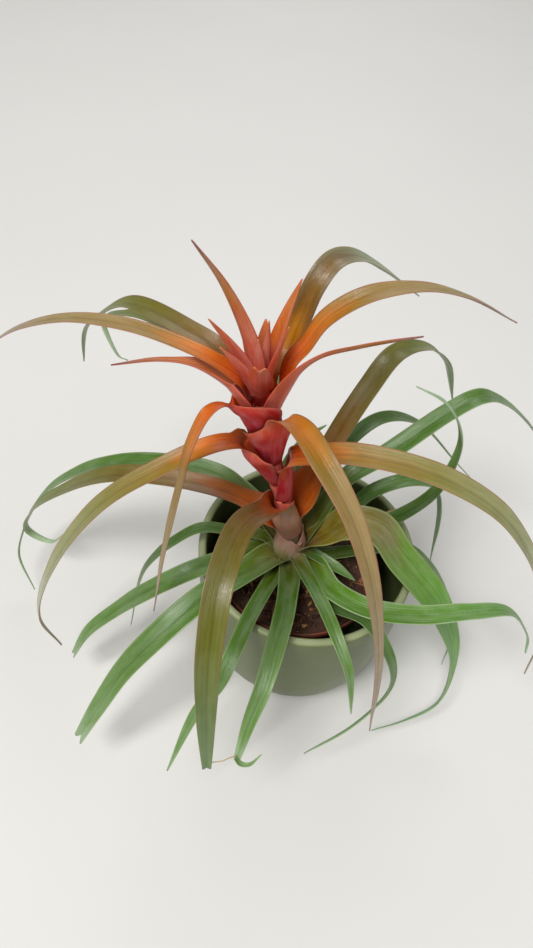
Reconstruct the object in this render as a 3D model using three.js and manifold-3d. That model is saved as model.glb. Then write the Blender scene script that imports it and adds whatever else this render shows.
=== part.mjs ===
// A flowering air plant of the bromeliad kind, rooted in bark mix in a thin brown nursery pot that stands
// inside a sage green glazed cover pot. Millimetres, +Z up. The origin is the centre of the cover pot's flat
// foot, and -Y is the front. Every leaf is a closed channelled blade swept along a smooth curve. The curve
// starts on the stem and passes through a few points, and the blade wraps the stem there and opens out.
import * as THREE from "three";
import { mergeVertices } from "three/addons/utils/BufferGeometryUtils.js";
import Module from "manifold-3d";

const wasm = await Module();
wasm.setup();

// ---- Driving dimensions -----------------------------------------------------------------------------------

const GAP = 0.3; // clearance between touching pieces

const COVER_POT = {
  height: 110,
  rimRadius: 70,
  footRadius: 47,
  footChamfer: 2,
  wall: 4.6,
  lip: 5.2, // thickness of the rolled lip
  floor: 6,
  floorCorner: 4, // how far in the corner between the floor and the wall is filled
  roundness: 3, // exponent of the bowl's outline: 1 is a cone, higher is fuller
  sides: 40,
  rows: 7,
  crowding: 1.4, // over 1 sets the rows closer together near the foot
  lipRows: 5,
};

const NURSERY_POT = {
  x: -4,
  y: -4,
  height: 89,
  rimRadius: 53,
  footRadius: 40,
  wall: 1.2,
  rimBand: 9, // height of the stiff band under the rim
  rimStep: 1.4, // how far that band stands proud
  rimFlare: 0.5, // how much the band widens on its way up
  stepRise: 0.6,
  sides: 40,
  drainHoles: 5,
  drainRadius: 5,
  drainCircle: 27,
  drainSides: 12,
};

const MIX = {
  depthBelowRim: 7,
  rings: 9,
  sides: 36,
  relief: 2.2, // height of the bark's lumps
  sideGap: 0.7, // clearance to the pot's wall, which narrows a little under the band
  edgeFade: 6, // exponent by which the lumps fade out at the pot's wall
};

const STEM = {
  x: -10,
  y: 3,
  radius: 9,
  bottom: 70,
  top: 112,
  sides: 20,
  footTaper: 6,
  topChamfer: 2,
  socketDepth: 12,
  socketPlay: 1.5,
};

// The flower stalk's centre line. It leans to the left, and its foot stands in the stem's socket.
const STALK_LINE = [
  [-10, 3, 101],
  [-11, 3, 113],
  [-14, 4, 126],
  [-20, 5, 154],
  [-29, 5, 187],
  [-36, 5, 226],
];
const STALK = {
  footRadius: 4.6,
  topRadius: 3.8,
  sides: 10,
  steps: 9,
};

const BLADE = {
  thickness: 0.8,
  steps: 15,
  tipWidth: 0.14, // share of the full width left at a pointed tip
  rootWidth: 7, // how wide a rosette leaf is where it leaves the stem
  rootReach: 11, // how far out a rosette leaf gets while it climbs its rise
  shoulder: 0.3, // share of the length after which a leaf begins to taper
  taper: 1.6, // over 1 keeps a leaf broad for longer before it narrows
  channel: 34, // half angle of the channel in degrees
};

// A bract's cup. angle: the half angle by which its foot wraps the stalk. mouthAngle: the same at its mouth.
// height: how far up its mouth is. flare: how fast its keel leans away from the stalk, in mm for each mm up.
// girth: the radius that its wall is bent to at the mouth. neck: the length over which it then narrows.
const CLASP = {
  steps: 17,
  columns: 4,
  crowding: 1.35, // over 1 sets the cross-sections closer together near the foot
  middle: 0.55, // share of the cup's height at which the curve has its middle point
  shoulder: 0.35,
};
const BOAT_CUP = { angle: 116, mouthAngle: 80, height: 32, flare: 0.36, girth: 15, neck: 13 };
const POUCH_CUP = { angle: 108, mouthAngle: 84, height: 26, flare: 0.34, girth: 13.2, neck: 18 };
const SLEEVE_CUP = { angle: 116, mouthAngle: 70, height: 26, flare: 0.2, girth: 8.5, neck: 20 };
const FAN_CUP = { angle: 84, mouthAngle: 58, height: 22, flare: 0.46, girth: 11.8, neck: 40 };
const FOLD_CUP = { angle: 60, mouthAngle: 40, height: 24, flare: 0.28, girth: 14, neck: 34 };
const SLIM_CUP = { angle: 46, mouthAngle: 32, height: 14, flare: 0.4, girth: 11.2, neck: 20 };

// ---- Colours ----------------------------------------------------------------------------------------------

const finish = (color, roughness) => new THREE.MeshStandardMaterial({ color, roughness, metalness: 0 });
const GLAZE = finish(0x8f9a7c, 0.35);
const PLASTIC = finish(0x7a3f2c, 0.55);
const BARK = finish(0x3b2418, 0.95);
const STEM_GREEN = finish(0x5f6b3a, 0.7);
const STALK_RED = finish(0xc6574a, 0.55);
const LEAF_GREEN = finish(0x5f8f45, 0.45);
const LEAF_OLIVE = finish(0x83793f, 0.5);
const BRACT_ORANGE = finish(0xc8642c, 0.5);
const BRACT_RED = finish(0xcb5140, 0.5);
const STRAW_TAN = finish(0xb99a68, 0.85);

// ---- Leaves -----------------------------------------------------------------------------------------------
// azimuth: the side of the stem that the leaf grows from, in degrees, 0 to the right and 90 to the back.
// root: the height where it leaves the stem. rise: how much it climbs in its first stretch.
// path: the points that it then passes through, ending at its tip.
// width: its full width. tip: the share of that width left at its tip, where it isn't a plain point.

const ROSETTE_LEAVES = [
  {
    name: "leaf_front_right_under",
    azimuth: 300,
    root: 92,
    rise: 5,
    width: 10,
    path: [[18, -42, 107], [36, -53, 113], [52, -69, 99], [56, -77, 74], [39, -91, 51], [10, -105, 29]],
  },
  {
    name: "leaf_right_narrow",
    azimuth: 349,
    root: 93,
    rise: 6,
    width: 10,
    path: [[37, -2, 112], [62, 0, 115], [83, 0, 97], [102, -8, 70], [110, -20, 44], [109, -31, 17]],
  },
  {
    name: "leaf_back_hidden",
    azimuth: 84,
    root: 93,
    rise: 12,
    width: 12,
    path: [[-6, 43, 124], [-4, 64, 121], [2, 87, 99], [7, 100, 64]],
  },
  {
    name: "leaf_back_left_low",
    azimuth: 132,
    root: 93,
    rise: 12,
    width: 13,
    path: [[-43, 33, 116], [-66, 53, 107], [-83, 73, 79], [-93, 88, 48]],
  },
  {
    name: "leaf_left_short",
    azimuth: 202,
    root: 93,
    rise: 12,
    width: 13,
    tip: 0.45,
    path: [
      [-48, -19, 115], [-71, -34, 119], [-95, -40, 103], [-117, -40, 76],
      [-137, -48, 57], [-152, -54, 27],
    ],
  },
  {
    name: "leaf_front_left_thin",
    azimuth: 249,
    root: 93,
    rise: 9,
    width: 10,
    path: [[-32, -56, 114], [-39, -80, 118], [-45, -95, 110], [-58, -108, 90], [-72, -129, 54]],
  },
  {
    name: "leaf_front",
    azimuth: 270,
    root: 98,
    rise: 6,
    width: 13,
    tip: 0.4,
    path: [[-12, -50, 114], [-17, -80, 122], [-22, -101, 116], [-27, -113, 104], [-32, -127, 84]],
  },
  {
    name: "leaf_right_level",
    azimuth: 313,
    root: 98,
    rise: 6,
    width: 15,
    path: [
      [16, -35, 114], [37, -49, 120], [66, -51, 122], [96, -45, 121],
      [124, -37, 111], [143, -39, 88], [148, -42, 70],
    ],
  },
  {
    name: "leaf_right_back_low",
    azimuth: 26,
    root: 103,
    rise: 14,
    width: 11,
    path: [[25, 18, 127], [38, 22, 143], [57, 27, 150], [76, 33, 142], [87, 36, 116], [100, 39, 46]],
  },
  {
    name: "leaf_back_tip_up",
    azimuth: 104,
    root: 98,
    rise: 14,
    width: 11,
    path: [[-17, 40, 134], [-12, 56, 134], [-2, 78, 130], [8, 82, 137]],
  },
  {
    name: "leaf_left_thin",
    azimuth: 180,
    root: 98,
    rise: 12,
    width: 8,
    path: [
      [-47, -2, 119], [-67, -5, 124], [-85, -9, 112], [-98, -11, 95],
      [-108, -13, 74], [-120, -21, 14],
    ],
  },
  {
    name: "leaf_front_left_broad",
    azimuth: 226,
    root: 98,
    rise: 9,
    width: 17,
    tip: 0.5,
    path: [
      [-41, -31, 115], [-62, -52, 119], [-83, -71, 109], [-102, -85, 89],
      [-117, -99, 65], [-132, -112, 36],
    ],
  },
  {
    name: "leaf_front_right_small",
    azimuth: 290,
    root: 103,
    rise: 5,
    width: 9,
    path: [[9, -45, 116], [17, -66, 119], [25, -82, 111], [29, -88, 96], [32, -95, 78]],
  },
  {
    name: "leaf_right_upcurled",
    azimuth: 12,
    root: 98,
    rise: 12,
    width: 11,
    path: [[38, 11, 118], [60, 13, 136], [73, 14, 160], [76, 17, 198], [60, 17, 226], [41, 14, 238]],
  },
  {
    name: "leaf_back_right_thin",
    azimuth: 64,
    root: 101,
    rise: 18,
    width: 10,
    path: [[8, 35, 148], [22, 49, 162], [41, 67, 163], [74, 89, 139], [106, 92, 105], [126, 91, 85]],
  },
  {
    name: "leaf_left_back_long",
    azimuth: 156,
    root: 102,
    rise: 16,
    width: 14,
    path: [
      [-55, 22, 142], [-84, 29, 143], [-128, 36, 131], [-171, 44, 99],
      [-198, 44, 66], [-210, 33, 44], [-213, 21, 28], [-200, 3, 9],
    ],
  },
  {
    name: "leaf_inner_right",
    azimuth: 328,
    root: 105,
    rise: 2,
    width: 8,
    path: [[19, -14, 107], [32, -20, 103]],
  },
  {
    name: "leaf_right_broad",
    azimuth: 345,
    root: 107,
    rise: 22,
    width: 23,
    path: [
      [21, -4, 148], [39, -5, 150], [53, -13, 134], [70, -18, 114],
      [87, -25, 93], [106, -41, 51], [101, -62, 27], [79, -74, 18],
      [57, -81, 12],
    ],
  },
  {
    name: "leaf_back_right_high",
    azimuth: 32,
    root: 107,
    rise: 26,
    width: 14,
    path: [
      [19, 20, 156], [40, 31, 166], [76, 52, 187], [93, 60, 194],
      [116, 75, 179], [157, 100, 134], [186, 116, 92],
    ],
  },
];

const STEM_LEAVES = [
  {
    name: "stem_leaf_left",
    azimuth: 172,
    root: 114,
    width: 15,
    path: [
      [-45, 7, 143], [-71, 9, 150], [-122, 16, 143], [-165, 24, 111],
      [-197, 30, 73], [-205, 32, 46], [-190, 30, 37], [-176, 28, 52],
    ],
  },
  {
    name: "stem_leaf_back_right",
    azimuth: 48,
    root: 119,
    width: 14,
    path: [
      [2, 18, 172], [11, 26, 194], [22, 38, 213], [34, 50, 228],
      [57, 73, 218], [76, 88, 196], [93, 99, 155],
    ],
  },
  {
    name: "stem_leaf_front",
    azimuth: 238,
    root: 124,
    width: 15,
    tip: 0.4,
    path: [
      [-31, -31, 181], [-41, -55, 197], [-47, -84, 197], [-49, -108, 177],
      [-49, -122, 140], [-48, -133, 81],
    ],
  },
];

const BRACT_LEAVES = [
  {
    name: "bract_leaf_left_low",
    azimuth: 201,
    root: 165,
    width: 13,
    cup: POUCH_CUP,
    color: BRACT_ORANGE,
    path: [
      [-45, 1, 197], [-56, -6, 204], [-86, -20, 196], [-118, -31, 174],
      [-146, -44, 134], [-165, -51, 78], [-161, -48, 29],
    ],
  },
  {
    name: "bract_leaf_right_low",
    azimuth: 345,
    root: 152,
    width: 15,
    cup: SLEEVE_CUP,
    color: BRACT_ORANGE,
    path: [
      [-18, 0, 190], [-3, -6, 202], [16, -11, 210], [56, -20, 210],
      [93, -28, 193], [124, -36, 155], [146, -41, 108], [158, -43, 41],
    ],
  },
  {
    name: "bract_leaf_front",
    azimuth: 296,
    root: 184,
    width: 14,
    cup: POUCH_CUP,
    color: BRACT_ORANGE,
    path: [
      [-26, -13, 232], [-17, -27, 242], [-6, -46, 241], [9, -66, 228],
      [20, -84, 208], [31, -98, 166], [39, -110, 97],
    ],
  },
  {
    name: "bract_leaf_back_left_low",
    azimuth: 128,
    root: 162,
    width: 11,
    color: LEAF_OLIVE,
    path: [
      [-56, 29, 228], [-75, 43, 231], [-110, 85, 212], [-133, 106, 197],
      [-152, 122, 178], [-139, 102, 166], [-129, 90, 172],
    ],
  },
  {
    name: "bract_leaf_front_left",
    azimuth: 238,
    root: 197.4,
    width: 10,
    cup: BOAT_CUP,
    color: BRACT_ORANGE,
    path: [
      [-53, -11, 237], [-60, -19, 239], [-68, -26, 222], [-73, -29, 199],
      [-78, -38, 176], [-83, -46, 149], [-89, -57, 109],
    ],
  },
  {
    name: "bract_leaf_back",
    azimuth: 86,
    root: 181,
    width: 12,
    color: LEAF_OLIVE,
    path: [[-36, 28, 234], [-34, 48, 232], [-30, 72, 204], [-27, 88, 160], [-26, 92, 120]],
  },
  {
    name: "bract_leaf_left_short",
    azimuth: 202,
    root: 213.7,
    width: 9,
    cup: FAN_CUP,
    color: BRACT_RED,
    path: [[-55, 1, 240], [-69, 1, 250], [-85, 1, 251], [-110, 1, 245]],
  },
  {
    name: "bract_leaf_back_left",
    azimuth: 140,
    root: 192,
    width: 13,
    color: LEAF_OLIVE,
    path: [
      [-60, 21, 243], [-79, 32, 247], [-112, 57, 241], [-134, 72, 222],
      [-152, 86, 196], [-159, 91, 167],
    ],
  },
  {
    name: "bract_leaf_right_short",
    azimuth: 320,
    root: 210.5,
    width: 8,
    cup: FOLD_CUP,
    color: BRACT_RED,
    path: [[-20, -4, 255], [-11, 0, 262], [8, 9, 263], [36, 11, 271]],
  },
  {
    name: "bract_leaf_left_high",
    azimuth: 170,
    root: 223.6,
    width: 10,
    color: BRACT_ORANGE,
    path: [
      [-61, 6, 250], [-81, 10, 256], [-102, 14, 259], [-133, 20, 256],
      [-163, 25, 243], [-193, 33, 218],
    ],
  },
  {
    name: "bract_leaf_right_high",
    azimuth: 7,
    root: 220,
    width: 12,
    color: BRACT_ORANGE,
    path: [
      [-23, 9, 251], [-17, 12, 259], [-9, 15, 273], [9, 19, 285],
      [34, 27, 286], [58, 35, 278], [90, 46, 259],
    ],
  },
  {
    name: "bract_leaf_back_right",
    azimuth: 78,
    root: 226,
    width: 12,
    color: LEAF_OLIVE,
    path: [
      [-26, 24, 245], [-21, 29, 260], [-16, 30, 280], [-9, 38, 288],
      [2, 51, 285], [21, 73, 266], [53, 111, 227],
    ],
  },
];

// The bracts of the flower head. azimuth: the side they lean to. face: the side their back faces, where they
// are turned. reach: how far their tip is from the head's axis. tip: the tip's height. width: the full width.
// bow: over 1 keeps a bract upright until near its tip.
const HEAD_BRACTS = [
  { azimuth: 186, face: 228, reach: 32, tip: 314, width: 15, bow: 2.1 },
  { azimuth: 198, face: 236, reach: 26, tip: 280, width: 15, bow: 1.4 },
  { azimuth: 214, face: 244, reach: 23, tip: 269, width: 14, bow: 1.3 },
  { azimuth: 266, reach: 15, tip: 260, width: 16, bow: 1.2 },
  { azimuth: 300, reach: 3, tip: 278, width: 8, bow: 1 },
  { azimuth: 250, reach: 8, tip: 271, width: 9, bow: 1.2 },
  { azimuth: 170, reach: 11, tip: 271, width: 9, bow: 1.2 },
  { azimuth: 33, reach: 17, tip: 293, width: 12, bow: 1.5 },
  { azimuth: 345, reach: 11, tip: 276, width: 12, bow: 1.2 },
  { azimuth: 92, reach: 15, tip: 266, width: 12, bow: 1.2 },
  { azimuth: 134, reach: 17, tip: 263, width: 12, bow: 1.2 },
];
const HEAD = {
  x: -37,
  y: 5,
  coreRadius: 4.6,
  coreTip: 1.5,
  coreShoulder: 6, // height over which the core narrows to its tip
  coreTop: 254,
  coreSides: 12,
  lowestBract: 229,
  highestBract: 240,
  rootRadius: 3, // how far from the axis a bract starts, sunk in the core
  rootShare: 0.6, // share of its full width that a bract has at its root
  rootAngle: 70,
  tipAngle: 40,
  shoulder: 0.28,
  tip: 0.1,
  steps: 7,
};

const STRAW = {
  path: [[44, 25, 108], [49, 28, 110], [55, 30, 112], [63, 32, 114]],
  azimuth: 22,
  width: 2.8,
  channel: 40,
  steps: 6,
};

// ---- Solids -----------------------------------------------------------------------------------------------

const radians = THREE.MathUtils.degToRad;
const mix = THREE.MathUtils.lerp;
const smooth = THREE.MathUtils.smoothstep;

/** The level direction away from the stem at an azimuth. */
const outward = (azimuth) => new THREE.Vector3(Math.cos(radians(azimuth)), Math.sin(radians(azimuth)), 0);

const toPoints = (triples) => triples.map((triple) => new THREE.Vector3(...triple));

const curveThrough = (points) => new THREE.CatmullRomCurve3(points, false, "centripetal");

/** A manifold solid from a geometry whose triangles close up once equal vertices are merged. */
function toSolid(geometry) {
  const bare = geometry.clone();
  bare.deleteAttribute("normal");
  bare.deleteAttribute("uv");
  const merged = mergeVertices(bare);
  const mesh = new wasm.Mesh({
    numProp: 3,
    vertProperties: new Float32Array(merged.attributes.position.array),
    triVerts: new Uint32Array(merged.index.array),
  });
  return new wasm.Manifold(mesh);
}

/** A geometry from a manifold solid. */
function toGeometry(solid) {
  const { vertProperties, triVerts } = solid.getMesh();
  const geometry = new THREE.BufferGeometry();
  geometry.setAttribute("position", new THREE.BufferAttribute(vertProperties, 3));
  geometry.setIndex(new THREE.BufferAttribute(triVerts, 1));
  geometry.computeVertexNormals();
  return geometry;
}

/** The largest connected body of a solid, without loose scraps or sealed hollows. */
const mainBody = (solid) => solid.decompose().reduce((a, b) => (a.volume() > b.volume() ? a : b));

/** A solid of revolution about Z from [radius, height] pairs that start and end on the axis. */
function turned(profile, sides) {
  const points = profile.map(([radius, height]) => new THREE.Vector2(radius, height));
  return new THREE.LatheGeometry(points, sides).rotateX(Math.PI / 2);
}

/** An upright cylinder between two heights, to cut a hole with. */
function upright(radius, bottom, top, sides) {
  const cylinder = new THREE.CylinderGeometry(radius, radius, top - bottom, sides);
  return cylinder.rotateX(Math.PI / 2).translate(0, 0, (top + bottom) / 2);
}

const stalkCurve = curveThrough(toPoints(STALK_LINE));

/** The stalk's centre at a height, found by halving the curve's stretch, or straight above the curve's top. */
function stalkCentre(height) {
  const [x, y, top] = STALK_LINE.at(-1);
  if (height > top) return new THREE.Vector3(x, y, height);
  const halvings = 24;
  let [low, high] = [0, 1];
  for (let i = 0; i < halvings; i += 1) {
    const middle = (low + high) / 2;
    if (stalkCurve.getPoint(middle).z < height) low = middle;
    else high = middle;
  }
  return stalkCurve.getPoint(low);
}

/**
 * A closed blade along a curve. Its cross-section is an arc whose hollow side faces up, or faces the stem
 * where the blade climbs. `halfWidth` and `halfAngle` give the arc at a share of the length, and `sink` says
 * how far it is lowered there: at 0 the curve is its keel, and at 1 the curve runs through its middle.
 * `crowding` over 1 sets the cross-sections closer together near the foot.
 */
function blade({ curve, azimuth, halfWidth, halfAngle, sink = () => 1, columns = 2, steps, crowding = 1 }) {
  const { thickness } = BLADE;
  const side = new THREE.Vector3(-Math.sin(radians(azimuth)), Math.cos(radians(azimuth)), 0);
  const positions = [];
  for (let i = 0; i <= steps; i += 1) {
    const share = (i / steps) ** crowding;
    const centre = curve.getPointAt(share);
    const tangent = curve.getTangentAt(share);
    side.addScaledVector(tangent, -side.dot(tangent)).normalize();
    const inward = tangent.clone().cross(side);
    const angle = radians(halfAngle(share));
    const radius = halfWidth(share) / angle;
    const lowered = sink(share) * radius * (1 - Math.sin(angle) / angle);
    for (const face of [0.5, -0.5]) {
      const reach = radius - face * thickness;
      for (let j = 0; j <= columns; j += 1) {
        const at = angle * ((2 * j) / columns - 1);
        const point = centre.clone().addScaledVector(side, reach * Math.sin(at));
        point.addScaledVector(inward, radius - reach * Math.cos(at) - lowered);
        positions.push(point.x, point.y, point.z);
      }
    }
  }
  const geometry = new THREE.BufferGeometry();
  geometry.setAttribute("position", new THREE.Float32BufferAttribute(positions, 3));
  geometry.setIndex(bladeTriangles(steps, columns));
  geometry.computeVertexNormals();
  return geometry;
}

/** The triangles that close a blade's rings: both faces split alike, two edges and two ends. */
function bladeTriangles(steps, columns) {
  const index = [];
  const quad = (a, b, c, d) => index.push(a, b, c, a, c, d);
  const under = columns + 1;
  const ring = 2 * under;
  for (let i = 0; i < steps; i += 1) {
    const near = i * ring;
    const far = near + ring;
    for (let j = 0; j < columns; j += 1) {
      quad(near + j, far + j, far + j + 1, near + j + 1);
      quad(far + under + j + 1, far + under + j, near + under + j, near + under + j + 1);
    }
    quad(near + under, far + under, far, near);
    quad(near + columns, far + columns, far + under + columns, near + under + columns);
  }
  const end = steps * ring;
  for (let j = 0; j < columns; j += 1) {
    const low = under + j;
    quad(low, j, j + 1, low + 1);
    quad(end + low, end + low + 1, end + j + 1, end + j);
  }
  return index;
}

/** A share of the full width along a strap: full up to the shoulder, then drawn out to the tip. */
function strapShare(share, shoulder, tip) {
  const past = Math.max(0, (share - shoulder) / (1 - shoulder));
  return mix(1, tip, past ** BLADE.taper);
}

/** A green leaf of the rosette, from the stem's side out along its path. */
function rosetteLeaf({ azimuth, root, rise, path, width, tip = BLADE.tipWidth }) {
  const { thickness, rootWidth, rootReach, channel, shoulder, steps } = BLADE;
  const foot = STEM.radius + 2 * GAP + thickness / 2;
  const from = (out, height) =>
    new THREE.Vector3(STEM.x, STEM.y, height).addScaledVector(outward(azimuth), out);
  const start = [from(foot, root), from(foot + rootReach, root + rise)];
  const fullWidth = (share) => mix(rootWidth, width, smooth(share, 0, shoulder));
  return blade({
    curve: curveThrough([...start, ...toPoints(path)]),
    azimuth,
    halfWidth: (share) => (fullWidth(share) / 2) * strapShare(share, shoulder, tip),
    halfAngle: () => channel,
    steps,
  });
}

/** A bract or stem leaf: a cup that clasps the stalk, open on the far side, and runs out into a strap. */
function claspingLeaf({ azimuth, root, path, width, cup = SLIM_CUP, tip = BLADE.tipWidth }) {
  const { steps, columns, crowding, middle, shoulder } = CLASP;
  const footRadius = STALK.footRadius + 2 * GAP + BLADE.thickness / 2;
  const mouthRadius = footRadius + cup.flare * cup.height;
  const climb = (share) => {
    const out = mix(footRadius, mouthRadius, share);
    return stalkCentre(root + share * cup.height).addScaledVector(outward(azimuth), out);
  };
  const curve = curveThrough([climb(0), climb(middle), climb(1), ...toPoints(path)]);
  const mouth = cup.height / curve.getLength();
  const neck = mouth + cup.neck / curve.getLength();
  const cupAngle = (share) => mix(cup.angle, cup.mouthAngle, share / mouth);
  const cupWidth = (share) =>
    mix(footRadius * radians(cup.angle), cup.girth * radians(cup.mouthAngle), share / mouth);
  const strapWidth = (share) => (width / 2) * strapShare(share, shoulder, tip);
  const narrowing = (share) => smooth(share, mouth, neck);
  return blade({
    curve,
    azimuth,
    halfWidth: (share) => mix(cupWidth(share), strapWidth(share), narrowing(share)),
    halfAngle: (share) => mix(cupAngle(share), BLADE.channel, narrowing(share)),
    sink: narrowing,
    columns,
    steps,
    crowding,
  });
}

/** The glazed cover pot: a full bowl with a flat foot and a rolled lip. */
function coverPot() {
  const { height, rimRadius, footRadius, footChamfer, wall, lip, floor, floorCorner } = COVER_POT;
  const { roundness, sides, rows, crowding, lipRows } = COVER_POT;
  const lipRadius = lip / 2;
  const lipHeight = height - lipRadius;
  const outline = (z) => {
    const fall = 1 - Math.min(z / height, 1);
    return footRadius + (rimRadius - footRadius) * (1 - fall ** roundness) ** (1 / roundness);
  };
  const profile = [[0, 0], [footRadius - footChamfer, 0], [footRadius, footChamfer / 2]];
  for (let i = 0; i <= rows; i += 1) {
    const z = mix(footChamfer, lipHeight, (i / rows) ** crowding);
    profile.push([outline(z), z]);
  }
  for (let i = 1; i < lipRows; i += 1) {
    const at = (Math.PI * i) / lipRows;
    profile.push([rimRadius - lipRadius + lipRadius * Math.cos(at), lipHeight + lipRadius * Math.sin(at)]);
  }
  for (let i = rows; i >= 0; i -= 1) {
    const z = mix(floor + 1, lipHeight, (i / rows) ** crowding);
    profile.push([outline(z) - mix(wall, lip, i / rows), z]);
  }
  profile.push([outline(floor) - wall - floorCorner, floor], [0, floor]);
  return turned(profile, sides);
}

/** The thin brown nursery pot, with a stiff band under its rim and drain holes in its floor. */
function nurseryPot() {
  const { x, y, height, rimRadius, footRadius, wall, rimBand, rimStep, rimFlare, stepRise } = NURSERY_POT;
  const { sides, drainHoles, drainRadius, drainCircle, drainSides } = NURSERY_POT;
  const bandRadius = rimRadius - rimFlare;
  const underBand = height - rimBand;
  const profile = [
    [0, 0],
    [footRadius, 0],
    [bandRadius - rimStep, underBand],
    [bandRadius, underBand + stepRise],
    [rimRadius, height],
    [rimRadius - wall, height],
    [bandRadius - wall, underBand],
    [bandRadius - rimStep - wall, underBand - stepRise],
    [footRadius - wall, wall],
    [0, wall],
  ];
  let solid = toSolid(turned(profile, sides));
  for (let i = 0; i < drainHoles; i += 1) {
    const at = (2 * Math.PI * i) / drainHoles;
    const hole = upright(drainRadius, -wall, 2 * wall, drainSides);
    hole.translate(drainCircle * Math.cos(at), drainCircle * Math.sin(at), 0);
    solid = solid.subtract(toSolid(hole));
  }
  return toGeometry(solid).translate(x, y, COVER_POT.floor + GAP);
}

/** How high the bark's lumps stand at a place, from -1 to 1. */
function barkRelief(x, y) {
  const across = Math.sin(0.31 * x + 1.7 * Math.sin(0.19 * y));
  const along = Math.cos(0.27 * y + Math.sin(0.23 * x));
  return across * along;
}

/** The bark mix that fills the nursery pot, lumpy on top, with a plain hole for the stem. */
function pottingMix() {
  const { x, y, height, rimRadius, footRadius, wall, rimStep, rimFlare, rimBand } = NURSERY_POT;
  const { depthBelowRim, rings, sides, relief, sideGap, edgeFade } = MIX;
  const potBottom = COVER_POT.floor + GAP;
  const bottom = potBottom + wall + GAP;
  const top = potBottom + height - depthBelowRim;
  const underBandRadius = rimRadius - rimFlare - rimStep;
  const bottomRadius = footRadius - wall - 2 * sideGap;
  const topRadius = underBandRadius - wall - 2 * sideGap;
  const shoulder = potBottom + height - 2 * rimBand;
  const shoulderRadius = mix(footRadius, underBandRadius, (shoulder - potBottom) / (height - rimBand));
  const profile = [[0, bottom], [bottomRadius, bottom], [shoulderRadius - wall - sideGap, shoulder]];
  for (let i = rings; i > 0; i -= 1) {
    profile.push([(topRadius * i) / rings, top]);
  }
  profile.push([0, top]);
  const body = turned(profile, sides);
  const position = body.attributes.position;
  for (let i = 0; i < position.count; i += 1) {
    if (position.getZ(i) > top - GAP) {
      const [px, py] = [position.getX(i), position.getY(i)];
      const fade = 1 - (Math.hypot(px, py) / topRadius) ** edgeFade;
      position.setZ(i, top + relief * fade * barkRelief(px, py));
    }
  }
  const hole = upright(STEM.radius + GAP, STEM.bottom - GAP, top + 2 * depthBelowRim, STEM.sides);
  return toGeometry(toSolid(body.translate(x, y, 0)).subtract(toSolid(hole.translate(STEM.x, STEM.y, 0))));
}

/** The short thick stem of the rosette, with a socket in its top for the flower stalk. */
function rosetteStem() {
  const { x, y, radius, bottom, top, sides, footTaper, topChamfer, socketDepth, socketPlay } = STEM;
  const profile = [
    [0, bottom],
    [radius - footTaper / 3, bottom],
    [radius, bottom + footTaper],
    [radius, top - topChamfer],
    [radius - topChamfer, top],
    [0, top],
  ];
  const socket = upright(STALK.footRadius + socketPlay, top - socketDepth, top + socketDepth, sides);
  const solid = toSolid(turned(profile, sides)).subtract(toSolid(socket));
  return toGeometry(solid).translate(x, y, 0);
}

/** The flower stalk: a round tapered rod along the stalk's curve. */
function stalkRod() {
  const { footRadius, topRadius, sides, steps } = STALK;
  const outline = new THREE.Shape().absarc(0, 0, footRadius, 0, 2 * Math.PI);
  const rod = new THREE.ExtrudeGeometry(outline, { steps, curveSegments: sides, extrudePath: stalkCurve });
  const position = rod.attributes.position;
  const [low, high] = [STALK_LINE[0][2], STALK_LINE.at(-1)[2]];
  for (let i = 0; i < position.count; i += 1) {
    const height = THREE.MathUtils.clamp(position.getZ(i), low, high);
    const centre = stalkCentre(height);
    const taper = mix(1, topRadius / footRadius, (height - low) / (high - low));
    position.setX(i, mix(centre.x, position.getX(i), taper));
    position.setY(i, mix(centre.y, position.getY(i), taper));
  }
  return rod;
}

/** One bract of the flower head, rooted in the head's core. */
function headBract({ azimuth, face = azimuth, reach, tip, width, bow }, root) {
  const { x, y, rootRadius, rootShare, rootAngle, tipAngle, shoulder, steps } = HEAD;
  const along = (share) => {
    const out = mix(rootRadius, reach, share ** bow);
    return new THREE.Vector3(x, y, mix(root, tip, share)).addScaledVector(outward(azimuth), out);
  };
  const opening = (share) => mix(rootShare, 1, smooth(share, 0, shoulder));
  return blade({
    curve: curveThrough([0, 0.35, 0.75, 1].map(along)),
    azimuth: face,
    halfWidth: (share) => (width / 2) * opening(share) * strapShare(share, shoulder, HEAD.tip),
    halfAngle: (share) => mix(rootAngle, tipAngle, share),
    steps,
  });
}

/** The crown of bracts, fused round a slim core that continues the stalk. */
function flowerHead() {
  const { x, y, coreRadius, coreTip, coreShoulder, coreTop, coreSides, lowestBract, highestBract } = HEAD;
  const bottom = STALK_LINE.at(-1)[2] + 5 * GAP;
  const profile = [
    [0, bottom],
    [coreRadius, bottom],
    [coreRadius, coreTop - coreShoulder],
    [coreTip, coreTop],
    [0, coreTop],
  ];
  let solid = toSolid(turned(profile, coreSides).translate(x, y, 0));
  HEAD_BRACTS.forEach((bract, i) => {
    const root = mix(lowestBract, highestBract, i / (HEAD_BRACTS.length - 1));
    solid = solid.add(toSolid(headBract(bract, root)));
  });
  return toGeometry(mainBody(solid));
}

/** The short dry bit of old leaf that lies from the mix to the pot's edge. */
function dryStraw() {
  const { path, azimuth, width, channel, steps } = STRAW;
  return blade({
    curve: curveThrough(toPoints(path)),
    azimuth,
    halfWidth: () => width / 2,
    halfAngle: () => channel,
    steps,
  });
}

// ---- The plant --------------------------------------------------------------------------------------------

const plant = new THREE.Group();

/** Adds a named mesh to the plant. */
function place(name, geometry, material) {
  const mesh = new THREE.Mesh(geometry, material.clone());
  mesh.name = name;
  plant.add(mesh);
}

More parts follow.
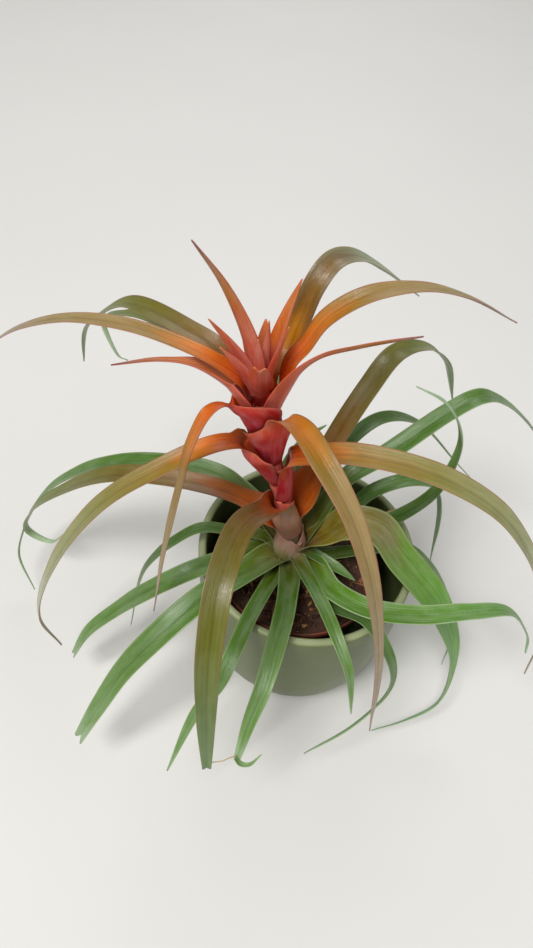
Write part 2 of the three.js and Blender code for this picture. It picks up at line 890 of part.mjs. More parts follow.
place("cover_pot", coverPot(), GLAZE);
place("nursery_pot", nurseryPot(), PLASTIC);
place("potting_mix", pottingMix(), BARK);
place("rosette_stem", rosetteStem(), STEM_GREEN);
place("flower_stalk", stalkRod(), STALK_RED);
place("flower_head", flowerHead(), BRACT_RED);
place("dry_straw", dryStraw(), STRAW_TAN);
for (const leaf of ROSETTE_LEAVES) {
  place(leaf.name, rosetteLeaf(leaf), LEAF_GREEN);
}
for (const leaf of STEM_LEAVES) {
  place(leaf.name, claspingLeaf(leaf), LEAF_OLIVE);
}
for (const { color, ...leaf } of BRACT_LEAVES) {
  place(leaf.name, claspingLeaf(leaf), color);
}

export default plant;
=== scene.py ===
import logging
import math
import random
from dataclasses import dataclass, field
from enum import Enum
from typing import Callable, ClassVar, Iterable, Sequence

import bmesh
import bpy
from mathutils import Matrix, Vector, noise


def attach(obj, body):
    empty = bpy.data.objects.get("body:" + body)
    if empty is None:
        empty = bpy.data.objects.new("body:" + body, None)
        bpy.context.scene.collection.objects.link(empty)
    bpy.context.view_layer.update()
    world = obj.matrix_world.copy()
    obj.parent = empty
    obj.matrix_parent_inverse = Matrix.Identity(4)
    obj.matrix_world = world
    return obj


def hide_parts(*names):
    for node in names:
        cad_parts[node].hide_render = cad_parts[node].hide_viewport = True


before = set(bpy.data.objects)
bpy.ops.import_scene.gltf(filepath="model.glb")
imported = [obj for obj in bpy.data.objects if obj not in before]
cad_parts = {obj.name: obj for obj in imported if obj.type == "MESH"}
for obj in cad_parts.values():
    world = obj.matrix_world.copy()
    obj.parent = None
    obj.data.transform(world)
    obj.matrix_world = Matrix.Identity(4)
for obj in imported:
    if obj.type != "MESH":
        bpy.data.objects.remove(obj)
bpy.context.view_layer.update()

log = logging.getLogger("air_plant")

Point = tuple[float, float, float]
Colour = tuple[float, float, float, float]
Stops = tuple[tuple[float, str], ...]

MM = 0.001  # sizes below are in millimetres, and meshes are in metres
BODY = "root"


def tint(code: str) -> Colour:
    """Turns a hex colour into Blender's linear colour.

    Args:
        code: Six hex digits with a leading #.

    Returns:
        Red, green, blue and alpha.
    """
    channels = [int(code[i:i + 2], 16) / 255 for i in (1, 3, 5)]
    linear = [c / 12.92 if c <= 0.04045 else ((c + 0.055) / 1.055) ** 2.4 for c in channels]
    return (linear[0], linear[1], linear[2], 1.0)


def mix(low: float, high: float, share: float) -> float:
    """Returns the value a share of the way from low to high."""
    return low + (high - low) * share


def smooth(value: float, low: float, high: float) -> float:
    """Returns 0 below low and 1 above high, with a smooth step between."""
    share = min(max((value - low) / (high - low), 0.0), 1.0)
    return share * share * (3 - 2 * share)


def outward(azimuth: float) -> Vector:
    """Returns the level direction away from the stem at an azimuth in degrees."""
    angle = math.radians(azimuth)
    return Vector((math.cos(angle), math.sin(angle), 0))


# ---- Shader maths -----------------------------------------------------------------------------------------


class Shade:
    """A socket of a material's nodes, on which plain arithmetic adds Math nodes."""

    def __init__(self, bench: "Bench", socket: bpy.types.NodeSocket) -> None:
        """Keeps the socket and the bench that holds its nodes."""
        self.bench = bench
        self.socket = socket

    def _math(self, operation: str, first: "Shade | float", second: "Shade | float") -> "Shade":
        """Returns the value of a Math node with that operation on two values."""
        return self.bench.node("ShaderNodeMath", {"operation": operation}, {0: first, 1: second})

    def __add__(self, other: "Shade | float") -> "Shade":
        """Returns the sum."""
        return self._math("ADD", self, other)

    def __radd__(self, other: float) -> "Shade":
        """Returns the sum."""
        return self._math("ADD", other, self)

    def __sub__(self, other: "Shade | float") -> "Shade":
        """Returns the difference."""
        return self._math("SUBTRACT", self, other)

    def __rsub__(self, other: float) -> "Shade":
        """Returns the difference."""
        return self._math("SUBTRACT", other, self)

    def __mul__(self, other: "Shade | float") -> "Shade":
        """Returns the product."""
        return self._math("MULTIPLY", self, other)

    def __rmul__(self, other: float) -> "Shade":
        """Returns the product."""
        return self._math("MULTIPLY", other, self)

    def __pow__(self, other: float) -> "Shade":
        """Returns the power."""
        return self._math("POWER", self, other)

    def __abs__(self) -> "Shade":
        """Returns the size without its sign."""
        return self._math("ABSOLUTE", self, 0.0)

    def step(self, low: float, high: float) -> "Shade":
        """Returns a smooth step from 0 at low to 1 at high."""
        settings = {"interpolation_type": "SMOOTHSTEP"}
        return self.bench.node("ShaderNodeMapRange", settings, {0: self, 1: low, 2: high, 3: 0.0, 4: 1.0})


class Bench:
    """One material and the nodes that are laid out for it."""

    def __init__(self, name: str) -> None:
        """Makes an empty material with its output node.

        Args:
            name: The material's name.
        """
        self.material = bpy.data.materials.new(name)
        self.material.use_nodes = True
        self.tree = self.material.node_tree
        self.tree.nodes.clear()
        self.output = self.tree.nodes.new("ShaderNodeOutputMaterial")

    def node(
        self, kind: str, settings: dict | None = None, inputs: dict | None = None, out: int | str = 0,
    ) -> Shade:
        """Adds any node.

        Args:
            kind: The node's type.
            settings: Its properties, and "stops" for a ramp. They are set first.
            inputs: Values or shades by the name or place of the socket.
            out: Which output is handed back.

        Returns:
            That output.
        """
        made = self.tree.nodes.new(kind)
        for key, value in (settings or {}).items():
            if key == "stops":
                self._set_stops(made.color_ramp, value)
            else:
                setattr(made, key, value)
        for key, value in (inputs or {}).items():
            if isinstance(value, Shade):
                self.tree.links.new(value.socket, made.inputs[key])
            else:
                made.inputs[key].default_value = value
        return Shade(self, made.outputs[out])

    @staticmethod
    def _set_stops(ramp: bpy.types.ColorRamp, stops: Stops) -> None:
        """Writes a ramp's stops.

        Args:
            ramp: The ramp.
            stops: Places from 0 to 1 with their hex colours.
        """
        while len(ramp.elements) < len(stops):
            ramp.elements.new(0.5)
        for element, (place, code) in zip(ramp.elements, stops):
            element.position = place
            element.color = tint(code)

    def attribute(self, name: str) -> Shade:
        """Returns a number that the mesh holds at each vertex."""
        return self.node("ShaderNodeAttribute", {"attribute_name": name}, out="Fac")

    def vector_attribute(self, name: str) -> Shade:
        """Returns a vector that the mesh holds at each vertex."""
        return self.node("ShaderNodeAttribute", {"attribute_name": name}, out="Vector")

    def place(self) -> Shade:
        """Returns the place on the piece, in metres."""
        return self.node("ShaderNodeTexCoord", out="Object")

    def ramp(self, factor: Shade, stops: Stops) -> Shade:
        """Returns the colour at a place on a ramp of stops."""
        return self.node("ShaderNodeValToRGB", {"stops": stops}, {0: factor})

    def blend(self, first: "Shade | Colour", second: "Shade | Colour", factor: "Shade | float") -> Shade:
        """Returns the first colour mixed with the second, by a factor from 0 to 1."""
        inputs = {0: factor, 6: first, 7: second}
        return self.node("ShaderNodeMix", {"data_type": "RGBA"}, inputs, out=2)

    def lit(self, colour: Shade, value: "Shade | float", saturation: "Shade | float" = 1.0) -> Shade:
        """Returns a colour made lighter or darker, and more or less vivid."""
        inputs = {"Color": colour, "Value": value, "Saturation": saturation}
        return self.node("ShaderNodeHueSaturation", {}, inputs)

    def bumped(self, height: Shade, distance: float, strength: float) -> Shade:
        """Returns a normal raised by a height, with the relief's depth in metres."""
        inputs = {"Height": height, "Distance": distance, "Strength": strength}
        return self.node("ShaderNodeBump", {}, inputs)

    def finish(self, inputs: dict) -> bpy.types.Material:
        """Ends the material with one Principled shader.

        Args:
            inputs: Its sockets by name. What varies feeds only those that a bake can hold.

        Returns:
            The material.
        """
        surface = self.node("ShaderNodeBsdfPrincipled", {}, inputs)
        self.tree.links.new(surface.socket, self.output.inputs["Surface"])
        return self.material


# ---- Finishes ---------------------------------------------------------------------------------------------


@dataclass(frozen=True)
class Pattern:
    """A noise pattern that a finish is made with.

    Args:
        scale: How fine it is.
        stretch: By how much each direction is scaled first, where it is.
        detail: How many finer layers it has.
        rough: How strong those are.
        step: Where it is sharpened, the value that becomes 0 and the one that becomes 1.
    """

    scale: float = 1.0
    stretch: Point | None = None
    detail: float = 2.0
    rough: float = 0.5
    step: tuple[float, float] | None = None

    def over(self, vector: Shade) -> Shade:
        """Lays the pattern out.

        Args:
            vector: Where on the piece it is looked up.

        Returns:
            Its value, from 0 to 1.
        """
        bench = vector.bench
        if self.stretch:
            settings = {"operation": "MULTIPLY"}
            vector = bench.node("ShaderNodeVectorMath", settings, {0: vector, 1: self.stretch})
        inputs = {"Vector": vector, "Scale": self.scale, "Detail": self.detail, "Roughness": self.rough}
        value = bench.node("ShaderNodeTexNoise", {}, inputs)
        return value.step(*self.step) if self.step else value


@dataclass(frozen=True)
class Finish:
    """A surface finish that pieces share."""

    name: str
    made: ClassVar[dict[str, bpy.types.Material]] = {}

    def material(self) -> bpy.types.Material:
        """Returns the finish as a material."""
        raise NotImplementedError

    def dress(self, pieces: Iterable[bpy.types.Object]) -> None:
        """Puts the finish on pieces, as one shared material.

        Args:
            pieces: The pieces.
        """
        if self.name not in self.made:
            self.made[self.name] = self.material()
        material = self.made[self.name]
        for piece in pieces:
            piece.data.materials.clear()
            piece.data.materials.append(material)


@dataclass(frozen=True)
class LeafFinish(Finish):
    """Living leaf skin: a colour that ripens along the leaf, fine ribs, a margin line and pale scales.

    Args:
        name: The material's name.
        upper: Colours of the hollow upper side from root to tip.
        under: Colours of the outer under side from root to tip.
        margin: The thin line along both edges.
        bloom: The colour of the pale scaly bloom.
        upper_scurf: How much of the upper side that bloom covers.
        rib: How strongly the ribs show in the colour.
        vivid: How saturated the bare skin is, against the colours above.
        scurf: How much of the under side the bloom covers.
        margin_strength: How strongly the margin's line shows.
        gloss: Roughness of the bare skin.
        flank: How much riper the colour is at the margins.
        veins: How dark the two lines beside the keel are.
    """

    upper: Stops
    under: Stops
    margin: str
    bloom: str
    upper_scurf: float
    rib: float
    vivid: float
    scurf: float = 0.3
    margin_strength: float = 0.4
    gloss: float = 0.3
    flank: float = 0.04
    veins: float = 0.0

    # Patterns along the grain, whose first direction runs across the blade and whose second runs along it.
    DRIFT: ClassVar[Pattern] = Pattern(stretch=(0.11, 0.03, 1.0), detail=3.0)
    RIBS: ClassVar[Pattern] = Pattern(stretch=(0.85, 0.007, 1.0), step=(0.32, 0.68))
    HAIR: ClassVar[Pattern] = Pattern(stretch=(3.4, 0.03, 1.0), rough=0.6)
    BLOTCH: ClassVar[Pattern] = Pattern(stretch=(0.2, 0.07, 1.0), detail=4.0, rough=0.6)
    SPECKS: ClassVar[Pattern] = Pattern(2.0, (1.5, 0.6, 1.0), 4.0, 0.75, (0.46, 0.66))
    COVER: ClassVar[Pattern] = Pattern(stretch=(0.25, 0.06, 1.0), step=(0.35, 0.65))
    KEEL_PAINTED_LIGHT: ClassVar[float] = 0.2  # painted shade in the keel's crease, and half as much painted highlight below
    KEEL_END: ClassVar[float] = 0.2  # where that painted shade and highlight end: 0 is the keel and 1 a margin
    VEIN_PLACE: ClassVar[float] = 0.38
    VEIN_WIDTH: ClassVar[float] = 0.035
    MARGIN_LINE: ClassVar[tuple[float, float]] = (0.84, 0.97)  # where it starts, and where it is full
    RELIEF: ClassVar[float] = 0.0003  # metres

    def material(self) -> bpy.types.Material:
        """Lays out the leaf skin.

        Returns:
            The finish as a material.
        """
        bench = Bench(self.name)
        grain = bench.vector_attribute("grain")
        upper = bench.attribute("upper")
        edge = abs(bench.attribute("across"))
        drift = self.DRIFT.over(grain) - 0.5
        ripe = bench.attribute("ripe") + drift * 0.12 + (edge ** 2.0) * self.flank
        colour = bench.blend(bench.ramp(ripe, self.under), bench.ramp(ripe, self.upper), upper)
        ribs = self.RIBS.over(grain)
        hair = self.HAIR.over(grain)
        blotch = self.BLOTCH.over(grain)
        shade = (ribs - 0.5) * self.rib + (hair - 0.5) * (self.rib * 1.1) + (blotch - 0.5) * 0.5
        colour = bench.lit(colour, 1.0 + shade, self.vivid - (blotch - 0.5) * 0.3)
        # Painted shade: the upper side is darker along the keel's crease, and a painted highlight makes the
        # under side lighter along its ridge.
        keel = (1.0 - edge.step(0.0, self.KEEL_END)) * self.KEEL_PAINTED_LIGHT
        vein = (1.0 - abs(edge - self.VEIN_PLACE).step(0.0, self.VEIN_WIDTH)) * self.veins
        colour = bench.lit(colour, 1.0 - (keel + vein) * upper + keel * (1.0 - upper) * 0.5)
        specks = self.SPECKS.over(grain)
        most = upper * (self.upper_scurf - self.scurf) + self.scurf
        scurf = (specks * 0.7 + 0.3) * self.COVER.over(grain) * most
        colour = bench.blend(colour, tint(self.bloom), scurf)
        colour = bench.blend(colour, tint(self.margin), edge.step(*self.MARGIN_LINE) * self.margin_strength)
        relief = ribs * 0.5 + hair * 0.35 + specks * 0.15
        return bench.finish({
            "Base Color": colour,
            "Roughness": self.gloss + (hair - 0.5) * 0.16 + scurf * 0.4 + (1.0 - upper) * 0.05,
            "Normal": bench.bumped(relief, self.RELIEF, 0.8),
            "Subsurface Weight": 0.06,
            "Subsurface Radius": (0.0012, 0.0009, 0.0004),
            "Subsurface Scale": 1.0,
            "Specular IOR Level": 0.56,
        })


@dataclass(frozen=True)
class GlazeFinish(Finish):
    """Sage green satin glaze, thinner and paler on the lip, with faint clouding and a few dark specks."""

    name: str = "sage_glaze"
    body: Stops = ((0.0, "#5c663e"), (0.4, "#667046"), (0.75, "#7a8456"), (1.0, "#9ea684"))
    speck: str = "#4c4a35"

    CLOUD: ClassVar[Pattern] = Pattern(28.0, detail=4.0, rough=0.6)
    FINE: ClassVar[Pattern] = Pattern(420.0, detail=3.0, rough=0.6)
    RARE: ClassVar[Pattern] = Pattern(140.0, detail=1.0, step=(0.6, 0.72))
    SMUDGE: ClassVar[Pattern] = Pattern(60.0, detail=3.0, rough=0.7)
    SPECK_SCALE: ClassVar[float] = 330.0
    SPECK_EDGE: ClassVar[tuple[float, float]] = (0.1, 0.28)
    RELIEF: ClassVar[float] = 0.0006  # metres

    def material(self) -> bpy.types.Material:
        """Lays out the glaze.

        Returns:
            The finish as a material.
        """
        bench = Bench(self.name)
        place = bench.place()
        cloud = self.CLOUD.over(place)
        fine = self.FINE.over(place)
        colour = bench.ramp(bench.attribute("thin") * 0.75 + cloud * 0.3, self.body)
        inputs = {"Vector": place, "Scale": self.SPECK_SCALE}
        dots = bench.node("ShaderNodeTexVoronoi", {}, inputs, out="Distance")
        specks = (1.0 - dots.step(*self.SPECK_EDGE)) * self.RARE.over(place)
        colour = bench.blend(colour, tint(self.speck), specks * 0.5)
        return bench.finish({
            "Base Color": bench.lit(colour, 0.94 + fine * 0.12),
            "Roughness": 0.26 + self.SMUDGE.over(place) * 0.16,
            "Coat Weight": 0.05,
            "Coat Roughness": 0.22,
            "Specular IOR Level": 0.24,
            "Normal": bench.bumped(cloud * 0.7 + fine * 0.05, self.RELIEF, 0.35),
        })


@dataclass(frozen=True)
class PlasticFinish(Finish):
    """Thin reddish brown moulded plastic, scuffed and dusted with soil."""

    name: str = "brown_plastic"
    clean: str = "#7b3a26"
    dusty: str = "#57382a"

    DUST: ClassVar[Pattern] = Pattern(90.0, detail=5.0, rough=0.7, step=(0.42, 0.7))
    SCUFF: ClassVar[Pattern] = Pattern(160.0, (1.0, 1.0, 6.0), 3.0, 0.7)
    RELIEF: ClassVar[float] = 0.0002  # metres

    def material(self) -> bpy.types.Material:
        """Lays out the plastic.

        Returns:
            The finish as a material.
        """
        bench = Bench(self.name)
        place = bench.place()
        dust = self.DUST.over(place)
        scuff = self.SCUFF.over(place)
        colour = bench.blend(tint(self.clean), tint(self.dusty), dust)
        return bench.finish({
            "Base Color": bench.lit(colour, 0.85 + scuff * 0.3),
            "Roughness": 0.42 + dust * 0.3,
            "Normal": bench.bumped(scuff, self.RELIEF, 0.5),
        })


@dataclass(frozen=True)
class BarkFinish(Finish):
    """Damp bark and fibre: each chip has a tone of its own, with streaks along it.

    Args:
        name: The material's name.
        tones: Colours from the dampest to the driest chip.
    """

    name: str = "bark"
    tones: Stops = (
        (0.0, "#22140c"), (0.36, "#472a18"), (0.62, "#6e4428"), (0.84, "#96643c"), (1.0, "#bc9058"),
    )

    STREAK: ClassVar[Pattern] = Pattern(1.0, (0.25, 1.6, 1.6), 4.0, 0.65)
    CRUMB: ClassVar[Pattern] = Pattern(620.0, detail=4.0, rough=0.7)
    RELIEF: ClassVar[float] = 0.0009  # metres

    def material(self) -> bpy.types.Material:
        """Lays out the bark.

        Returns:
            The finish as a material.
        """
        bench = Bench(self.name)
        streak = self.STREAK.over(bench.vector_attribute("grain"))
        crumb = self.CRUMB.over(bench.place())
        colour = bench.ramp(bench.attribute("tone") + (streak - 0.5) * 0.3, self.tones)
        return bench.finish({
            "Base Color": bench.lit(colour, 0.2 + crumb * 1.6),
            "Roughness": 0.95 - streak * 0.25,
            "Normal": bench.bumped(streak * 0.6 + crumb * 0.4, self.RELIEF, 0.8),
        })


@dataclass(frozen=True)
class StrawFinish(Finish):
    """Dry papery leaf: pale tan with darker fibres."""

    name: str = "straw_fibre"
    light: str = "#c9a673"
    dark: str = "#7d5a36"

    FIBRE: ClassVar[Pattern] = Pattern(stretch=(2.5, 0.08, 1.0), detail=3.0, rough=0.6)
    RELIEF: ClassVar[float] = 0.0003  # metres

    def material(self) -> bpy.types.Material:
        """Lays out the dry fibres.

        Returns:
            The finish as a material.
        """
        bench = Bench(self.name)
        fibre = self.FIBRE.over(bench.vector_attribute("grain"))
        return bench.finish({
            "Base Color": bench.blend(tint(self.dark), tint(self.light), fibre.step(0.3, 0.62)),
            "Roughness": 0.8,
            "Normal": bench.bumped(fibre, self.RELIEF, 0.8),
        })


@dataclass(frozen=True)
class FloorFinish(Finish):
    """Plain pale floor, with a very faint unevenness."""

    name: str = "pale_floor"
    dark: str = "#d2d1ce"
    light: str = "#d7d6d3"

    CLOUD: ClassVar[Pattern] = Pattern(3.0, detail=3.0)

    def material(self) -> bpy.types.Material:
        """Lays out the floor's surface.

        Returns:
            The finish as a material.
        """
        bench = Bench(self.name)
        cloud = self.CLOUD.over(bench.place())
        return bench.finish({
            "Base Color": bench.blend(tint(self.dark), tint(self.light), cloud),
            "Roughness": 0.6 + cloud * 0.1,
        })


GREEN_LEAF = LeafFinish(
    "green_leaf_skin",
    upper=(
        (0.0, "#857640"), (0.08, "#586424"), (0.24, "#426420"), (0.6, "#537432"), (0.9, "#6a8a4e"),
        (1.0, "#8ba47c"),
    ),
    under=((0.0, "#94886a"), (0.12, "#7c8860"), (0.4, "#729064"), (0.8, "#82a078"), (1.0, "#97b08e")),
    margin="#96aa70",
    margin_strength=0.35,
    scurf=0.36,
    upper_scurf=0.2,
    bloom="#bccab0",
    rib=0.17,
    vivid=1.08,
)
PALE_LEAF = LeafFinish(
    "pale_leaf_skin",
    upper=(
        (0.0, "#7a6a30"), (0.1, "#557412"), (0.22, "#4a7810"), (0.45, "#5a8034"), (0.85, "#6c9258"),
        (1.0, "#8aac80"),
    ),
    under=((0.0, "#94886a"), (0.12, "#8a9068"), (0.4, "#789c70"), (1.0, "#8cb088")),
    margin="#b4c49c",
    margin_strength=0.45,
    scurf=0.36,
    upper_scurf=0.24,
    bloom="#c4d0ba",
    rib=0.2,
    vivid=1.14,
)
BROAD_LEAF = LeafFinish(
    "broad_leaf_skin",
    upper=(
        (0.0, "#6e4a22"), (0.1, "#7c6c14"), (0.18, "#7c702c"), (0.26, "#7c7850"), (0.34, "#6e9044"),
        (0.6, "#66944a"), (1.0, "#84a872"),
    ),
    under=((0.0, "#94786a"), (0.12, "#947c64"), (0.35, "#7e986e"), (1.0, "#8cab88")),
    margin="#9cac70",
    scurf=0.28,
    upper_scurf=0.2,
    bloom="#c4d0b4",
    rib=0.12,
    vivid=1.18,
    veins=0.3,
)
OLIVE_LEAF = LeafFinish(
    "olive_leaf_skin",
    upper=(
        (0.0, "#7c3a1c"), (0.15, "#b84a04"), (0.28, "#b45804"), (0.36, "#765226"), (0.5, "#685c28"),
        (0.7, "#60661e"), (0.88, "#526c28"), (1.0, "#5e7c40"),
    ),
    under=((0.0, "#a06a60"), (0.16, "#a87a68"), (0.34, "#8c7c5c"), (0.6, "#869266"), (1.0, "#95ae8a")),
    margin="#845c3e",
    upper_scurf=0.1,
    bloom="#c2bda8",
    rib=0.16,
    vivid=1.08,
)
DARK_LEAF = LeafFinish(
    "dark_leaf_skin",
    upper=(
        (0.0, "#9c3c12"), (0.14, "#b46c04"), (0.28, "#ac7004"), (0.34, "#7a5a26"), (0.46, "#6e5e40"),
        (0.62, "#8c9874"), (1.0, "#a0ac90"),
    ),
    under=((0.0, "#b8503a"), (0.2, "#b07418"), (0.4, "#846c34"), (0.66, "#848c66"), (1.0, "#96a488")),
    margin="#805c38",
    scurf=0.18,
    upper_scurf=0.1,
    bloom="#bebda4",
    rib=0.16,
    flank=0.08,
    vivid=1.06,
)
ORANGE_STRAP = LeafFinish(
    "orange_strap_skin",
    upper=(
        (0.0, "#84161a"), (0.17, "#b03010"), (0.22, "#d45000"), (0.31, "#c06a00"), (0.38, "#8c6c30"),
        (0.48, "#7e7840"), (0.64, "#8c8e64"), (0.8, "#aab096"), (1.0, "#bcc4b0"),
    ),
    under=(
        (0.0, "#a42c3a"), (0.2, "#bc4450"), (0.29, "#c4563c"), (0.42, "#ac701c"), (0.55, "#8e8050"),
        (1.0, "#a09e86"),
    ),
    margin="#9c5440",
    margin_strength=0.45,
    scurf=0.26,
    upper_scurf=0.06,
    bloom="#d0b4a6",
    gloss=0.36,
    rib=0.13,
    flank=0.05,
    vivid=1.1,
)
TAN_STRAP = LeafFinish(
    "tan_strap_skin",
    upper=(
        (0.0, "#90282a"), (0.15, "#bc3c18"), (0.22, "#d45200"), (0.33, "#bc6c04"), (0.43, "#886e3c"),
        (0.7, "#938462"), (1.0, "#9c8f86"),
    ),
    under=(
        (0.0, "#a42c3a"), (0.2, "#bc4450"), (0.3, "#c45a3c"), (0.45, "#b07430"), (0.6, "#a07c5c"),
        (1.0, "#948880"),
    ),
    margin="#9a5044",
    margin_strength=0.5,
    upper_scurf=0.05,
    bloom="#d4b8ac",
    gloss=0.36,
    rib=0.13,
    flank=0.05,
    vivid=1.14,
)
RED_BRACT = LeafFinish(
    "red_bract_skin",
    # Both sides are pale at the root: partly the bracts' own pale coral, and partly painted light where the
    # bracts shade one another.
    upper=(
        (0.0, "#a4443e"), (0.16, "#bc5a4e"), (0.3, "#cc6c36"), (0.6, "#c4702c"), (0.84, "#a46444"),
        (1.0, "#6c4448"),
    ),
    under=(
        (0.0, "#e88478"), (0.3, "#d87060"), (0.58, "#be6034"), (0.72, "#a8641c"), (0.88, "#8c5a2a"),
        (1.0, "#6a443a"),
    ),
    margin="#c04230",
    margin_strength=0.5,
    scurf=0.38,
    upper_scurf=0.3,
    bloom="#dcbab0",
    gloss=0.28,
    rib=0.2,
    flank=0.05,
    vivid=1.06,
)
HEART_SKIN = LeafFinish(
    "heart_sheath_skin",
    upper=((0.0, "#6c5a38"), (1.0, "#8a6a4c")),
    under=((0.0, "#5e6a34"), (0.3, "#80804c"), (0.5, "#a0806a"), (0.8, "#b07c6e"), (1.0, "#b8846c")),
    margin="#c09480",
    scurf=0.4,
    upper_scurf=0.3,
    bloom="#d0c0b0",
    gloss=0.34,
    rib=0.14,
    vivid=1.0,
)


# ---- Meshes -----------------------------------------------------------------------------------------------


@dataclass
class Sketch:
    """Vertices, faces and vertex values gathered for one mesh, in metres."""

    points: list[Vector] = field(default_factory=list)
    faces: list[tuple[int, ...]] = field(default_factory=list)
    numbers: dict[str, list[float]] = field(default_factory=dict)
    grain: list[Point] = field(default_factory=list)

    TUBE_RIPE: ClassVar[float] = 0.4  # how ripe the skin of a tube's far end is
    TUBE_GRAIN: ClassVar[float] = 31.0  # how far a tube's tone moves it along the grain

    def add(self, point: Vector, grain: Point = (0.0, 0.0, 0.0), **numbers: float) -> int:
        """Adds a vertex.

        Args:
            point: Its place in millimetres.
            grain: Its place along the material's grain, in millimetres.
            numbers: Its other values by name.

        Returns:
            Its index.
        """
        self.points.append(point * MM)
        self.grain.append(grain)
        for key, value in numbers.items():
            self.numbers.setdefault(key, []).append(value)
        return len(self.points) - 1

    def join(self, rings: Sequence[Sequence[int]]) -> None:
        """Joins closed rings with faces.

        Args:
            rings: The vertices of each ring, or of a single point.
        """
        for low, high in zip(rings, rings[1:]):
            sides = max(len(low), len(high))
            for k in range(sides):
                after = (k + 1) % sides
                near = [low[k % len(low)], low[after % len(low)]]
                far = [high[after % len(high)], high[k % len(high)]]
                self.faces.append(tuple(dict.fromkeys(near + far)))

    def lathe(
        self,
        profile: Sequence[tuple[float, float]],
        centre: Vector,
        sides: int,
        thin: Callable[[float], float] = lambda height: 0.0,
    ) -> None:
        """Turns a closed profile about a vertical axis.

        Args:
            profile: Radius and height of each ring, in millimetres, from the axis back to the axis.
            centre: Where the axis stands.
            sides: How many sides each ring has.
            thin: Gives the value "thin" at a height.
        """
        rings = []
        for radius, height in profile:
            count = 1 if radius == 0 else sides
            ring = []
            for k in range(count):
                spot = centre + outward(360 * k / count) * radius + Vector((0, 0, height))
                grain = (math.tau * radius * k / count, height, 0.0)
                ring.append(self.add(spot, grain, thin=thin(height), ripe=0.1, upper=0.0))
            rings.append(ring)
        self.join(rings)

    def tube(
        self, line: "Line", steps: int, sides: int, radius: Callable[[float], float], tone: float = 0.0,
    ) -> None:
        """Sweeps a closed round tube along a line.

        Args:
            line: The line.
            steps: How many stretches it has.
            sides: How many sides it has.
            radius: Gives its radius at a share of the length.
            tone: Its tone, for finishes that vary from piece to piece.
        """
        side = Vector((0.3, 1.0, 0.1))
        rings = []
        for i in range(steps + 1):
            share = i / steps
            tangent = line.direction(share)
            side = (side - tangent * side.dot(tangent)).normalized()
            other = tangent.cross(side)
            ring = []
            for k in range(sides):
                at = math.tau * k / sides
                spot = line.at(share) + (side * math.cos(at) + other * math.sin(at)) * radius(share)
                grain = (at * radius(share), share * line.length, tone * self.TUBE_GRAIN)
                ripe = share * self.TUBE_RIPE
                ring.append(self.add(spot, grain, tone=tone, ripe=ripe, across=0.0, upper=0.0))
            rings.append(ring)
        self.join(rings)
        self.faces.append(tuple(reversed(rings[0])))
        self.faces.append(tuple(rings[-1]))

    def piece(self, name: str, slot: str, nodes: Iterable[str]) -> bpy.types.Object:
        """Makes the piece and sets it in the frame.

        Args:
            name: The piece's name.
            slot: The record's slot. It is not used.
            nodes: The frame's nodes that it stands for.

        Returns:
            The new object.
        """
        mesh = bpy.data.meshes.new(name)
        mesh.from_pydata(self.points, [], self.faces)
        mesh.polygons.foreach_set("use_smooth", [True] * len(mesh.polygons))
        shell = bmesh.new()
        shell.from_mesh(mesh)
        bmesh.ops.recalc_face_normals(shell, faces=shell.faces)
        shell.to_mesh(mesh)
        shell.free()
        for key, values in self.numbers.items():
            mesh.attributes.new(name=key, type="FLOAT", domain="POINT").data.foreach_set("value", values)
        flat = [part for grain in self.grain for part in grain]
        grain = mesh.attributes.new(name="grain", type="FLOAT_VECTOR", domain="POINT")
        grain.data.foreach_set("vector", flat)
        made = bpy.data.objects.new(name, mesh)
        bpy.context.scene.collection.objects.link(made)
        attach(made, BODY)
        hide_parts(*nodes)
        log.info("%s: %d faces", name, len(mesh.polygons))
        return made


class Line:
    """A smooth curve through points, centripetal so that it neither loops nor overshoots."""

    def __init__(self, points: "Sequence[Vector | Point]", samples: int = 500) -> None:
        """Works out the curve's lengths.

        Args:
            points: The points that the curve passes through.
            samples: How finely its length is measured.
        """
        self.points = [Vector(point) for point in points]
        self.spans = len(self.points) - 1
        places = [self._at(i / samples) for i in range(samples + 1)]
        self.lengths = [0.0]
        for before, after in zip(places, places[1:]):
            self.lengths.append(self.lengths[-1] + (after - before).length)
        self.length = self.lengths[-1]

    def _at(self, place: float) -> Vector:
        """Works out one point.

        Args:
            place: The place from 0 to 1, counted evenly over the spans.

        Returns:
            The point.
        """
        scaled = place * self.spans
        i = min(int(scaled), self.spans - 1)
        share = scaled - i
        p1, p2 = self.points[i], self.points[i + 1]
        p0 = self.points[i - 1] if i > 0 else 2 * p1 - p2
        p3 = self.points[i + 2] if i + 2 <= self.spans else 2 * p2 - p1
        d0, d1, d2 = (math.sqrt((b - a).length) for a, b in ((p0, p1), (p1, p2), (p2, p3)))
        start = ((p1 - p0) / d0 - (p2 - p0) / (d0 + d1) + (p2 - p1) / d1) * d1
        end = ((p2 - p1) / d1 - (p3 - p1) / (d1 + d2) + (p3 - p2) / d2) * d1
        curve = 2 * p1 - 2 * p2 + start + end
        bend = 3 * p2 - 3 * p1 - 2 * start - end
        return p1 + start * share + bend * share ** 2 + curve * share ** 3

    def at(self, share: float) -> Vector:
        """Works out one point by length.

        Args:
            share: The share of the curve's length.

        Returns:
            The point.
        """
        target = min(max(share, 0.0), 1.0) * self.length
        low, high = 0, len(self.lengths) - 1
        while high - low > 1:
            middle = (low + high) // 2
            if self.lengths[middle] <= target:
                low = middle
            else:
                high = middle
        gap = self.lengths[high] - self.lengths[low]
        within = (target - self.lengths[low]) / gap if gap else 0.0
        return self._at((low + within) / (len(self.lengths) - 1))

    def direction(self, share: float) -> Vector:
        """Returns the curve's direction at a share of its length."""
        step = 0.002
        return (self.at(min(share + step, 1.0)) - self.at(max(share - step, 0.0))).normalized()


